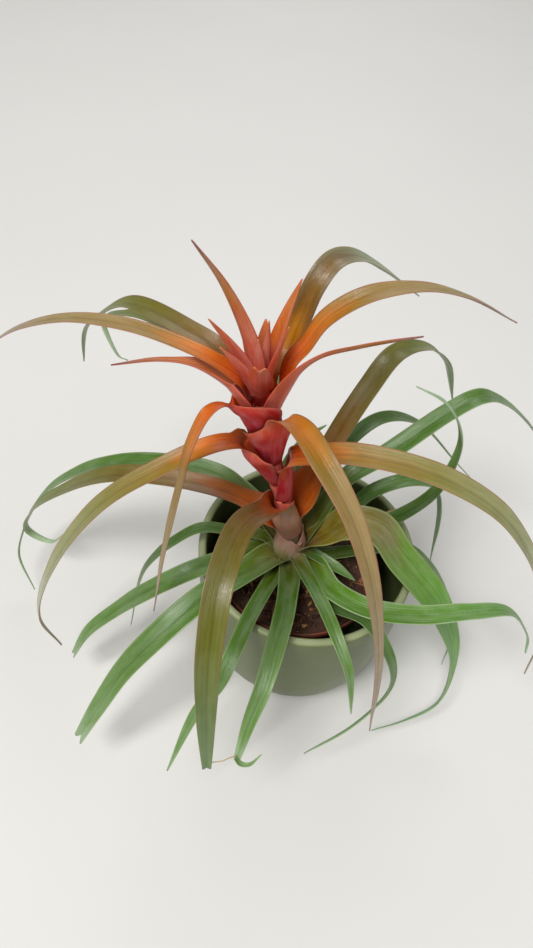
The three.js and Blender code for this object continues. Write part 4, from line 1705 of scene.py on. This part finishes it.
@dataclass
class RosetteStem(SubAssembly):
    """The short thick stem of the rosette, ringed with old leaf scars."""

    x: float = -10
    y: float = 3
    radius: float = 9
    bottom: float = 70
    top: float = 112
    socket_radius: float = 6.1
    socket_depth: float = 12
    foot_taper: float = 6
    chamfer: float = 2
    rows: int = 60
    sides: int = 64
    scar_depth: float = 0.25
    scar_pitch: float = 1.9
    finish: LeafFinish = OLIVE_LEAF

    def build(self) -> None:
        """Turns the stem, with a socket in its top."""
        sketch = Sketch()
        rings = [(0.0, self.bottom), (self.radius - self.foot_taper / 3, self.bottom)]
        low, high = self.bottom + self.foot_taper, self.top - self.chamfer
        for i in range(self.rows + 1):
            z = mix(low, high, i / self.rows)
            scar = (0.5 + 0.5 * math.sin(z * self.scar_pitch)) ** 3
            rings.append((self.radius - self.scar_depth * scar, z))
        rings += [(self.radius - self.chamfer, self.top), (self.socket_radius, self.top)]
        rings += [(self.socket_radius, self.top - self.socket_depth), (0.0, self.top - self.socket_depth)]
        sketch.lathe(rings, Vector((self.x, self.y, 0)), self.sides)
        self.keep(sketch, "rosette_stem_ringed", "stem_skin", "rosette_stem")


@dataclass
class FlowerStalk(SubAssembly):
    """The flower stalk and the closed sleeves that hug it between its leaves."""

    foot_radius: float = 4.6
    top_radius: float = 3.8
    bottom: float = 100
    top: float = 226
    gap: float = 0.3
    flare: float = 1.6
    foot_wrap: float = 172
    mouth_wrap: float = 60
    seed: float = 40.0
    stalk: StalkLine = field(default_factory=StalkLine)
    sleeves: tuple[tuple[float, float, float], ...] = (
        (106, 124, 215), (118, 136, 20), (130, 152, 250), (146, 166, 160), (160, 179, 300),
        (172, 191, 60), (184, 202, 230), (196, 214, 350), (206, 224, 120),
    )
    finish: LeafFinish = RED_BRACT

    def thickness(self, share: float) -> float:
        """Returns the rod's radius at a share of its length."""
        return mix(self.foot_radius, self.top_radius, share)

    def build(self) -> None:
        """Sweeps the rod and wraps its sleeves."""
        rod = Sketch()
        rod.tube(self.stalk.line, steps=90, sides=28, radius=self.thickness)
        self.keep(rod, "flower_stalk_rod", "stalk_skin", "flower_stalk")
        for i, (low, high, azimuth) in enumerate(self.sleeves):
            self._sleeve(i, low, high, azimuth)

    def _sleeve(self, index: int, low: float, high: float, azimuth: float) -> None:
        """Wraps one sleeve.

        Args:
            index: Its number from the bottom.
            low: The height of its foot.
            high: The height of its mouth.
            azimuth: The side on which it is highest.
        """
        radius = self.thickness((low - self.bottom) / (self.top - self.bottom)) + self.gap
        mouth = radius + self.flare
        points = []
        for share in (0, 0.35, 0.7, 1):
            out = outward(azimuth) * mix(radius, mouth, share)
            points.append(self.stalk.centre(mix(low, high, share)) + out)

        def section(share: float) -> Section:
            """Works out the sleeve's wrap, wide at its foot and drawn in to a point at its mouth.

            Args:
                share: The share of its length.

            Returns:
                The cross-section.
            """
            wrap = mix(self.foot_wrap, self.mouth_wrap, smooth(share, 0.35, 1.0))
            point = smooth(share, 0.7, 1.0)
            half_width = mix(radius, mouth, share) * math.radians(wrap) * (1 - 0.75 * point)
            return Section(half_width, wrap * (1 - 0.6 * point), 0.0)

        ripe = mix(0.3, 0.05, smooth(low, 106, 150))
        blade = Blade(
            Line(points, samples=80), azimuth, section, lambda share: ripe + 0.1 * share,
            self.seed + index, columns=28, step=0.9, middle=0.7, wave=0.2,
        )
        self.keep(blade.draw(), f"stalk_sleeve_{index + 1}", "stalk_skin", "flower_stalk")

    def dress(self) -> None:
        """Gives the stalk its red skin, and olive at the bottom sleeves."""
        self.finish.dress(self.pieces)
        HEART_SKIN.dress(self.pieces[1:3])


@dataclass(frozen=True)
class Sheath:
    """One clasping base at the heart of the rosette.

    Args:
        azimuth: The side of the stem that it grows from.
        low: The height of its foot.
        high: The height of its tip.
        lean: How far its tip leans out from the stalk.
        girth: How far out from the stalk's axis its foot is.
    """

    azimuth: float
    low: float
    high: float
    lean: float
    girth: float


@dataclass
class Heart(SubAssembly):
    """The clasping bases that close the rosette round the foot of the flower stalk."""

    stalk: StalkLine = field(default_factory=StalkLine)
    waist: float = 8.6
    foot_wrap: float = 112
    tip_wrap: float = 40
    sheaths: tuple[Sheath, ...] = (
        Sheath(206, 95, 125, 1.0, 11.4),
        Sheath(85, 94, 118, 0.8, 10.8),
        Sheath(318, 93, 114, 0.4, 11.0),
        Sheath(20, 96, 121, 0.3, 10.2),
    )
    seed: float = 80.0
    finish: LeafFinish = HEART_SKIN

    def build(self) -> None:
        """Makes every sheath."""
        for i, sheath in enumerate(self.sheaths):
            shape = self._blade(sheath, i).draw()
            self.keep(shape, f"rosette_sheath_{i + 1}", "stem_skin", "rosette_stem")

    def _blade(self, sheath: Sheath, index: int) -> Blade:
        """Returns one sheath's blade.

        Args:
            sheath: The sheath.
            index: Its number.

        Returns:
            The blade.
        """
        outs = (sheath.girth, sheath.girth, self.waist, self.waist + sheath.lean)
        way = outward(sheath.azimuth)
        points = []
        for share, out in zip((0.0, 0.35, 0.75, 1.0), outs):
            height = mix(sheath.low, sheath.high, share)
            core = self.stalk.centre(height)
            points.append(Vector((core.x, core.y, height)) + way * out)

        def section(share: float) -> Section:
            """Works out the sheath's wrap, which narrows to a point at its tip.

            Args:
                share: The share of its length.

            Returns:
                The cross-section.
            """
            closing = smooth(share, 0.5, 1.0)
            half_angle = mix(self.foot_wrap, self.tip_wrap, closing)
            out = mix(sheath.girth, self.waist, smooth(share, 0.2, 0.8))
            return Section(out * math.radians(half_angle) * (1 - 0.72 * closing), half_angle, 0.0)

        return Blade(
            Line(points, samples=80), sheath.azimuth, section, lambda share: share,
            self.seed + index * 2.7, columns=26, step=0.9, wave=0.3,
        )


@dataclass
class LeafGroup(SubAssembly):
    """Leaves that run out into channelled straps."""

    leaves: tuple[Leaf, ...] = ()
    channel: float = 34
    tip_fold: float = 0.3
    tip_start: float = 0.6

    def folded(self, share: float) -> float:
        """Returns how much more a strap is folded towards its tip, at a share of its length."""
        return self.tip_fold * smooth(share, self.tip_start, 1.0)

    def dress(self) -> None:
        """Gives every leaf its own finish or the group's."""
        for leaf, piece in zip(self.leaves, self.pieces):
            (leaf.finish or self.finish).dress([piece])


@dataclass
class Rosette(LeafGroup):
    """The green leaves that grow from the short stem."""

    leaves: tuple[Leaf, ...] = ROSETTE_LEAVES
    stem_x: float = -10
    stem_y: float = 3
    foot: float = 10
    foot_growth: float = 0.28
    foot_share: float = 0.62
    reach: float = 11
    shoulder: float = 0.3
    base_angle: float = 62
    base_end: float = 34
    seed_step: float = 0.37
    finish: LeafFinish = GREEN_LEAF

    def build(self) -> None:
        """Makes every leaf."""
        order = sorted(self.leaves, key=lambda leaf: -leaf.root)
        for leaf in self.leaves:
            shape = self._blade(leaf, order.index(leaf)).draw()
            self.keep(shape, leaf.name + "_blade", "green_leaf", leaf.name)

    def _blade(self, leaf: Leaf, order: int) -> Blade:
        """Returns one leaf's blade.

        Args:
            leaf: The leaf.
            order: 0 for the innermost leaf. Outer ones wrap wider.

        Returns:
            The blade.
        """
        def beside(out: float, height: float) -> Vector:
            """Returns a place beside the stem."""
            return Vector((self.stem_x, self.stem_y, height)) + outward(leaf.azimuth) * out

        base = min(self.foot + self.foot_growth * order, leaf.width * self.foot_share)
        start = [beside(self.foot, leaf.root), beside(self.foot + self.reach, leaf.root + leaf.rise)]
        line = Line([*start, *leaf.path])

        def section(share: float) -> Section:
            """Works out the cross-section: a wide clasping base that narrows into a channelled strap.

            Args:
                share: The share of the leaf's length.

            Returns:
                The cross-section.
            """
            along = share * line.length
            opened = smooth(along, 2, self.base_end)
            wrap = base * math.radians(self.base_angle)
            crease = leaf.crease * smooth(share, 0.2, 0.5) + self.folded(share)
            half_width = mix(wrap, leaf.strap(share, self.shoulder), smooth(along, 1, self.base_end + 6))
            half_angle = mix(self.base_angle, self.channel, opened)
            return Section(half_width, half_angle, opened, crease, leaf.turned(share))

        seed = leaf.azimuth * self.seed_step
        return Blade(line, leaf.azimuth, section, lambda share: share, seed, notch=leaf.notch)


@dataclass
class ClaspingLeaves(LeafGroup):
    """Stem leaves or bract leaves: cups that clasp the stalk and run out into straps."""

    stalk: StalkLine = field(default_factory=StalkLine)
    middle: float = 0.55
    shoulder: float = 0.35
    seed: float = 3
    seed_step: float = 0.53
    finish: LeafFinish = OLIVE_LEAF

    def build(self) -> None:
        """Makes every leaf."""
        for leaf in self.leaves:
            slot = LEAF_SLOTS[(leaf.finish or self.finish).name]
            self.keep(self._blade(leaf).draw(), leaf.name + "_blade", slot, leaf.name)

    def _blade(self, leaf: Leaf) -> Blade:
        """Draws up one leaf's blade, mirroring the solid but with a fuller cup and a folded strap.

        Args:
            leaf: The leaf.

        Returns:
            The blade.
        """
        cup = leaf.cup.value
        mouth_radius = cup.foot + cup.flare * cup.height

        def climb(share: float) -> Vector:
            """Returns a place on the cup's keel."""
            out = mix(cup.foot, mouth_radius, share) + cup.belly * math.sin(math.pi * share)
            return self.stalk.centre(leaf.root + share * cup.height) + outward(leaf.azimuth) * out

        line = Line([climb(0), climb(self.middle), climb(1), *leaf.path])
        mouth = cup.height / line.length
        neck = mouth + cup.neck / line.length

        def section(share: float) -> Section:
            """Works out the cross-section: the cup, its neck, and the strap.

            Args:
                share: The share of the leaf's length.

            Returns:
                The cross-section.
            """
            up_cup = share / mouth
            foot, rim = math.radians(cup.angle), math.radians(cup.mouth_angle)
            swell = cup.belly * math.sin(math.pi * min(up_cup, 1.0)) * rim
            cup_width = mix(cup.foot * foot, cup.girth * rim, up_cup) + swell
            narrowing = smooth(share, mouth, neck)
            crease = leaf.crease * smooth(share, neck, neck + 0.2) + self.folded(share)
            half_width = mix(cup_width, leaf.strap(share, self.shoulder), narrowing)
            half_angle = mix(mix(cup.angle, cup.mouth_angle, up_cup), self.channel, narrowing)
            return Section(half_width, half_angle, narrowing, crease, leaf.turned(share))

        def ripe(share: float) -> float:
            """Returns the ripeness: a fifth at the cup's mouth and 1 at the tip."""
            beyond = max(0.0, (share - mouth) / (1 - mouth))
            return mix(0.2, 1.0, beyond ** leaf.ripen) if share > mouth else 0.2 * share / mouth

        seed = leaf.azimuth * self.seed_step + self.seed
        return Blade(line, leaf.azimuth, section, ripe, seed, columns=18, notch=leaf.notch)


@dataclass
class Crown(SubAssembly):
    """The flower head: pointed red bracts round a slim core."""

    x: float = -37
    y: float = 5
    bottom: float = 227.5
    core_radius: float = 4.6
    core_tip: float = 1.5
    core_shoulder: float = 6
    core_top: float = 254
    lowest: float = 229
    highest: float = 240
    root_radius: float = 3
    root_share: float = 0.6
    root_angle: float = 70
    tip_angle: float = 40
    shoulder: float = 0.28
    tip: float = 0.06
    sides: int = 40
    seed: float = 60.0
    bracts: tuple[HeadBract, ...] = HEAD_BRACTS
    finish: LeafFinish = RED_BRACT

    def build(self) -> None:
        """Makes the core and its bracts."""
        core = Sketch()
        rings = [(0.0, self.bottom), (self.core_radius, self.bottom)]
        rings += [(self.core_radius, self.core_top - self.core_shoulder), (self.core_tip, self.core_top)]
        rings += [(0.0, self.core_top)]
        core.lathe(rings, Vector((self.x, self.y, 0)), self.sides)
        self.keep(core, "flower_head_core", "red_bract", "flower_head")
        for i, bract in enumerate(self.bracts):
            root = mix(self.lowest, self.highest, i / (len(self.bracts) - 1))
            shape = self._blade(bract, root, i).draw()
            self.keep(shape, f"flower_head_bract_{i + 1}", "red_bract", "flower_head")

    def _blade(self, bract: HeadBract, root: float, index: int) -> Blade:
        """Returns one bract's blade.

        Args:
            bract: The bract.
            root: The height of its root.
            index: Its place in the spiral.

        Returns:
            The blade.
        """
        def along(share: float) -> Vector:
            """Returns a place on the bract's keel."""
            out = mix(self.root_radius, bract.reach, share ** bract.bow)
            return Vector((self.x, self.y, mix(root, bract.tip, share))) + outward(bract.azimuth) * out

        line = Line([along(0), along(0.35), along(0.75), along(1)], 200)

        def section(share: float) -> Section:
            """Works out the bract's boat-shaped cross-section.

            Args:
                share: The share of its length.

            Returns:
                The cross-section.
            """
            past = max(0.0, (share - self.shoulder) / (1 - self.shoulder))
            opening = mix(self.root_share, 1.0, smooth(share, 0, self.shoulder))
            half_width = bract.width / 2 * opening * mix(1.0, max(self.tip, bract.blunt), past ** 1.6)
            half_angle = mix(self.root_angle, self.tip_angle, share)
            return Section(half_width, half_angle, 1.0, 0.35 * smooth(share, 0.3, 0.9))

        face = bract.azimuth if bract.face is None else bract.face
        return Blade(
            line, face, section, lambda share: share * bract.ripe, self.seed + index * 1.3,
            columns=16, step=1.0, wave=0.25, notch=bract.notch,
        )


@dataclass
class TornTip(SubAssembly):
    """The front leaf's torn end: a narrow strip that curls up, and a dry thread that hangs off it."""

    strip: tuple[Point, ...] = ((-33, -127, 85), (-30, -129, 81), (-25, -129, 81), (-19, -125, 87))
    strip_width: float = 3.4
    strip_channel: float = 50
    strip_azimuth: float = 330
    strip_seed: float = 7.0
    thread: tuple[Point, ...] = (
        (-32.5, -126.5, 86), (-36, -128, 86.5), (-40, -129, 83), (-46, -130, 82),
    )
    thread_radius: float = 0.32
    finish: LeafFinish = GREEN_LEAF
    dry_finish: StrawFinish = StrawFinish()

    def build(self) -> None:
        """Makes the strip and the thread."""
        def section(share: float) -> Section:
            """Returns the strip's cross-section, which closes to a point."""
            half_width = self.strip_width / 2 * (1 - 0.85 * share ** 1.5)
            return Section(half_width, self.strip_channel, 1.0, 0.4)

        blade = Blade(
            Line(self.strip, samples=80), self.strip_azimuth, section, lambda share: 0.7 + 0.3 * share,
            self.strip_seed, columns=10, step=0.6, wave=0.1,
        )
        self.keep(blade.draw(), "leaf_front_torn_strip", "green_leaf", "leaf_front")
        thread = Sketch()
        hung = Line(self.thread, samples=80)
        thread.tube(hung, steps=40, sides=8, radius=lambda share: self.thread_radius * (1 - 0.4 * share))
        self.keep(thread, "leaf_front_dry_thread", "dry_leaf", "leaf_front")

    def dress(self) -> None:
        """Gives the strip its green and the thread its straw colour."""
        self.finish.dress(self.pieces[:1])
        self.dry_finish.dress(self.pieces[1:])


@dataclass
class DryStraw(SubAssembly):
    """The short dry bit of old leaf at the pot's edge."""

    path: tuple[Point, ...] = ((44, 25, 108), (49, 28, 110), (55, 30, 112), (63, 32, 114))
    azimuth: float = 22
    width: float = 2.8
    channel: float = 40
    seed: float = 5.0
    finish: StrawFinish = StrawFinish()

    def build(self) -> None:
        """Makes the straw."""
        def section(share: float) -> Section:
            """Returns the straw's cross-section, a little ragged at both ends."""
            return Section(self.width / 2 * (0.8 + 0.2 * math.sin(math.pi * share)), self.channel)

        blade = Blade(
            Line(self.path, samples=80), self.azimuth, section, lambda share: share, self.seed,
            step=0.6, wave=0.3, edge=0.4,
        )
        self.keep(blade.draw(), "dry_straw_strip", "dry_leaf", "dry_straw")


@dataclass(frozen=True)
class Lamp:
    """A square soft light that faces the plant.

    Args:
        name: Its name.
        place: Where it is, in millimetres.
        size: Its side in millimetres.
        power: Its power in watts.
        colour: Its colour.
    """

    name: str
    place: Point
    size: float
    power: float
    colour: Point = (1.0, 1.0, 1.0)

    AIM: ClassVar[Point] = (0, 0, 120)  # the point that it faces, in millimetres

    def build(self) -> None:
        """Sets the light."""
        light = bpy.data.lights.new(self.name, "AREA")
        light.size = self.size * MM
        light.energy = self.power
        light.color = self.colour
        made = bpy.data.objects.new(self.name, light)
        made.location = Vector(self.place) * MM
        toward = Vector(self.AIM) * MM - made.location
        made.rotation_euler = toward.to_track_quat("-Z", "Y").to_euler()
        bpy.context.scene.collection.objects.link(made)


@dataclass
class Studio:
    """The pale floor, the soft lights and the camera.

    Args:
        camera: Where the camera is, in millimetres.
        pitch: How far it looks down, in degrees.
        roll: How far it is turned about its own axis, in degrees.
        lens: Its focal length in millimetres.
        sensor: Its sensor's width in millimetres.
        near: How near it still sees, in millimetres.
        floor_size: The floor's side in millimetres.
        floor_finish: The floor's finish.
        sky: The colour of the even light from all sides.
        sky_strength: How strong that light is.
        lamps: The soft lights.
    """

    camera: Point = (-30.4, -230.4, 449.0)
    pitch: float = 49.88
    roll: float = 5.3
    lens: float = 24.0
    sensor: float = 36.0
    near: float = 10.0
    floor_size: float = 60000
    floor_finish: FloorFinish = FloorFinish()
    sky: Colour = (1.0, 0.99, 0.97, 1.0)
    sky_strength: float = 0.26
    lamps: tuple[Lamp, ...] = (
        Lamp("key", (-1100, -1300, 3200), 1300, 118.0, (1.0, 0.99, 0.975)),
        Lamp("fill", (2600, -800, 2200), 2200, 22.0, (0.98, 0.99, 1.0)),
        Lamp("rim", (0, 2600, 2000), 1500, 22.0),
    )

    def build(self) -> None:
        """Lays the floor and sets the lights and the camera."""
        self._floor()
        for lamp in self.lamps:
            lamp.build()
        self._sky()
        self._camera()

    def _floor(self) -> None:
        """Lays a plain pale floor."""
        half = self.floor_size * MM / 2
        corners = [(-half, -half, 0), (half, -half, 0), (half, half, 0), (-half, half, 0)]
        mesh = bpy.data.meshes.new("floor")
        mesh.from_pydata(corners, [], [(0, 1, 2, 3)])
        floor = bpy.data.objects.new("floor", mesh)
        self.floor_finish.dress([floor])
        bpy.context.scene.collection.objects.link(floor)

    def _sky(self) -> None:
        """Gives the world an even pale light."""
        world = bpy.data.worlds.new("studio")
        world.use_nodes = True
        backdrop = world.node_tree.nodes["Background"]
        backdrop.inputs["Color"].default_value = self.sky
        backdrop.inputs["Strength"].default_value = self.sky_strength
        bpy.context.scene.world = world

    def _camera(self) -> None:
        """Sets the camera at the photograph's angle."""
        pitch, roll = math.radians(self.pitch), math.radians(self.roll)
        forward = Vector((0, math.cos(pitch), -math.sin(pitch)))
        level = Vector((1, 0, 0))
        above = level.cross(forward)
        right = math.cos(roll) * level + math.sin(roll) * above
        up = -math.sin(roll) * level + math.cos(roll) * above
        lens = bpy.data.cameras.new("camera")
        lens.lens = self.lens
        lens.sensor_width = self.sensor
        lens.clip_start = self.near * MM
        camera = bpy.data.objects.new("camera", lens)
        turn = Matrix((right, up, -forward)).transposed().to_4x4()
        camera.matrix_world = Matrix.Translation(Vector(self.camera) * MM) @ turn
        bpy.context.scene.collection.objects.link(camera)
        bpy.context.scene.camera = camera


def main() -> None:
    """Builds and dresses every sub-assembly, then sets the studio."""
    logging.basicConfig(level=logging.INFO, format="%(name)s: %(message)s")
    assemblies: list[SubAssembly] = [
        CoverPot(),
        NurseryPot(),
        BarkMix(),
        RosetteStem(),
        FlowerStalk(),
        Heart(),
        Rosette(),
        ClaspingLeaves(leaves=STEM_LEAVES),
        ClaspingLeaves(leaves=BRACT_LEAVES, finish=ORANGE_STRAP),
        Crown(),
        TornTip(),
        DryStraw(),
    ]
    for assembly in assemblies:
        assembly.build()
        assembly.dress()
        log.info("%s: %d pieces", type(assembly).__name__, len(assembly.pieces))
    Studio().build()
    bpy.context.scene.view_settings.view_transform = "Standard"


if __name__ == "__main__":
    main()
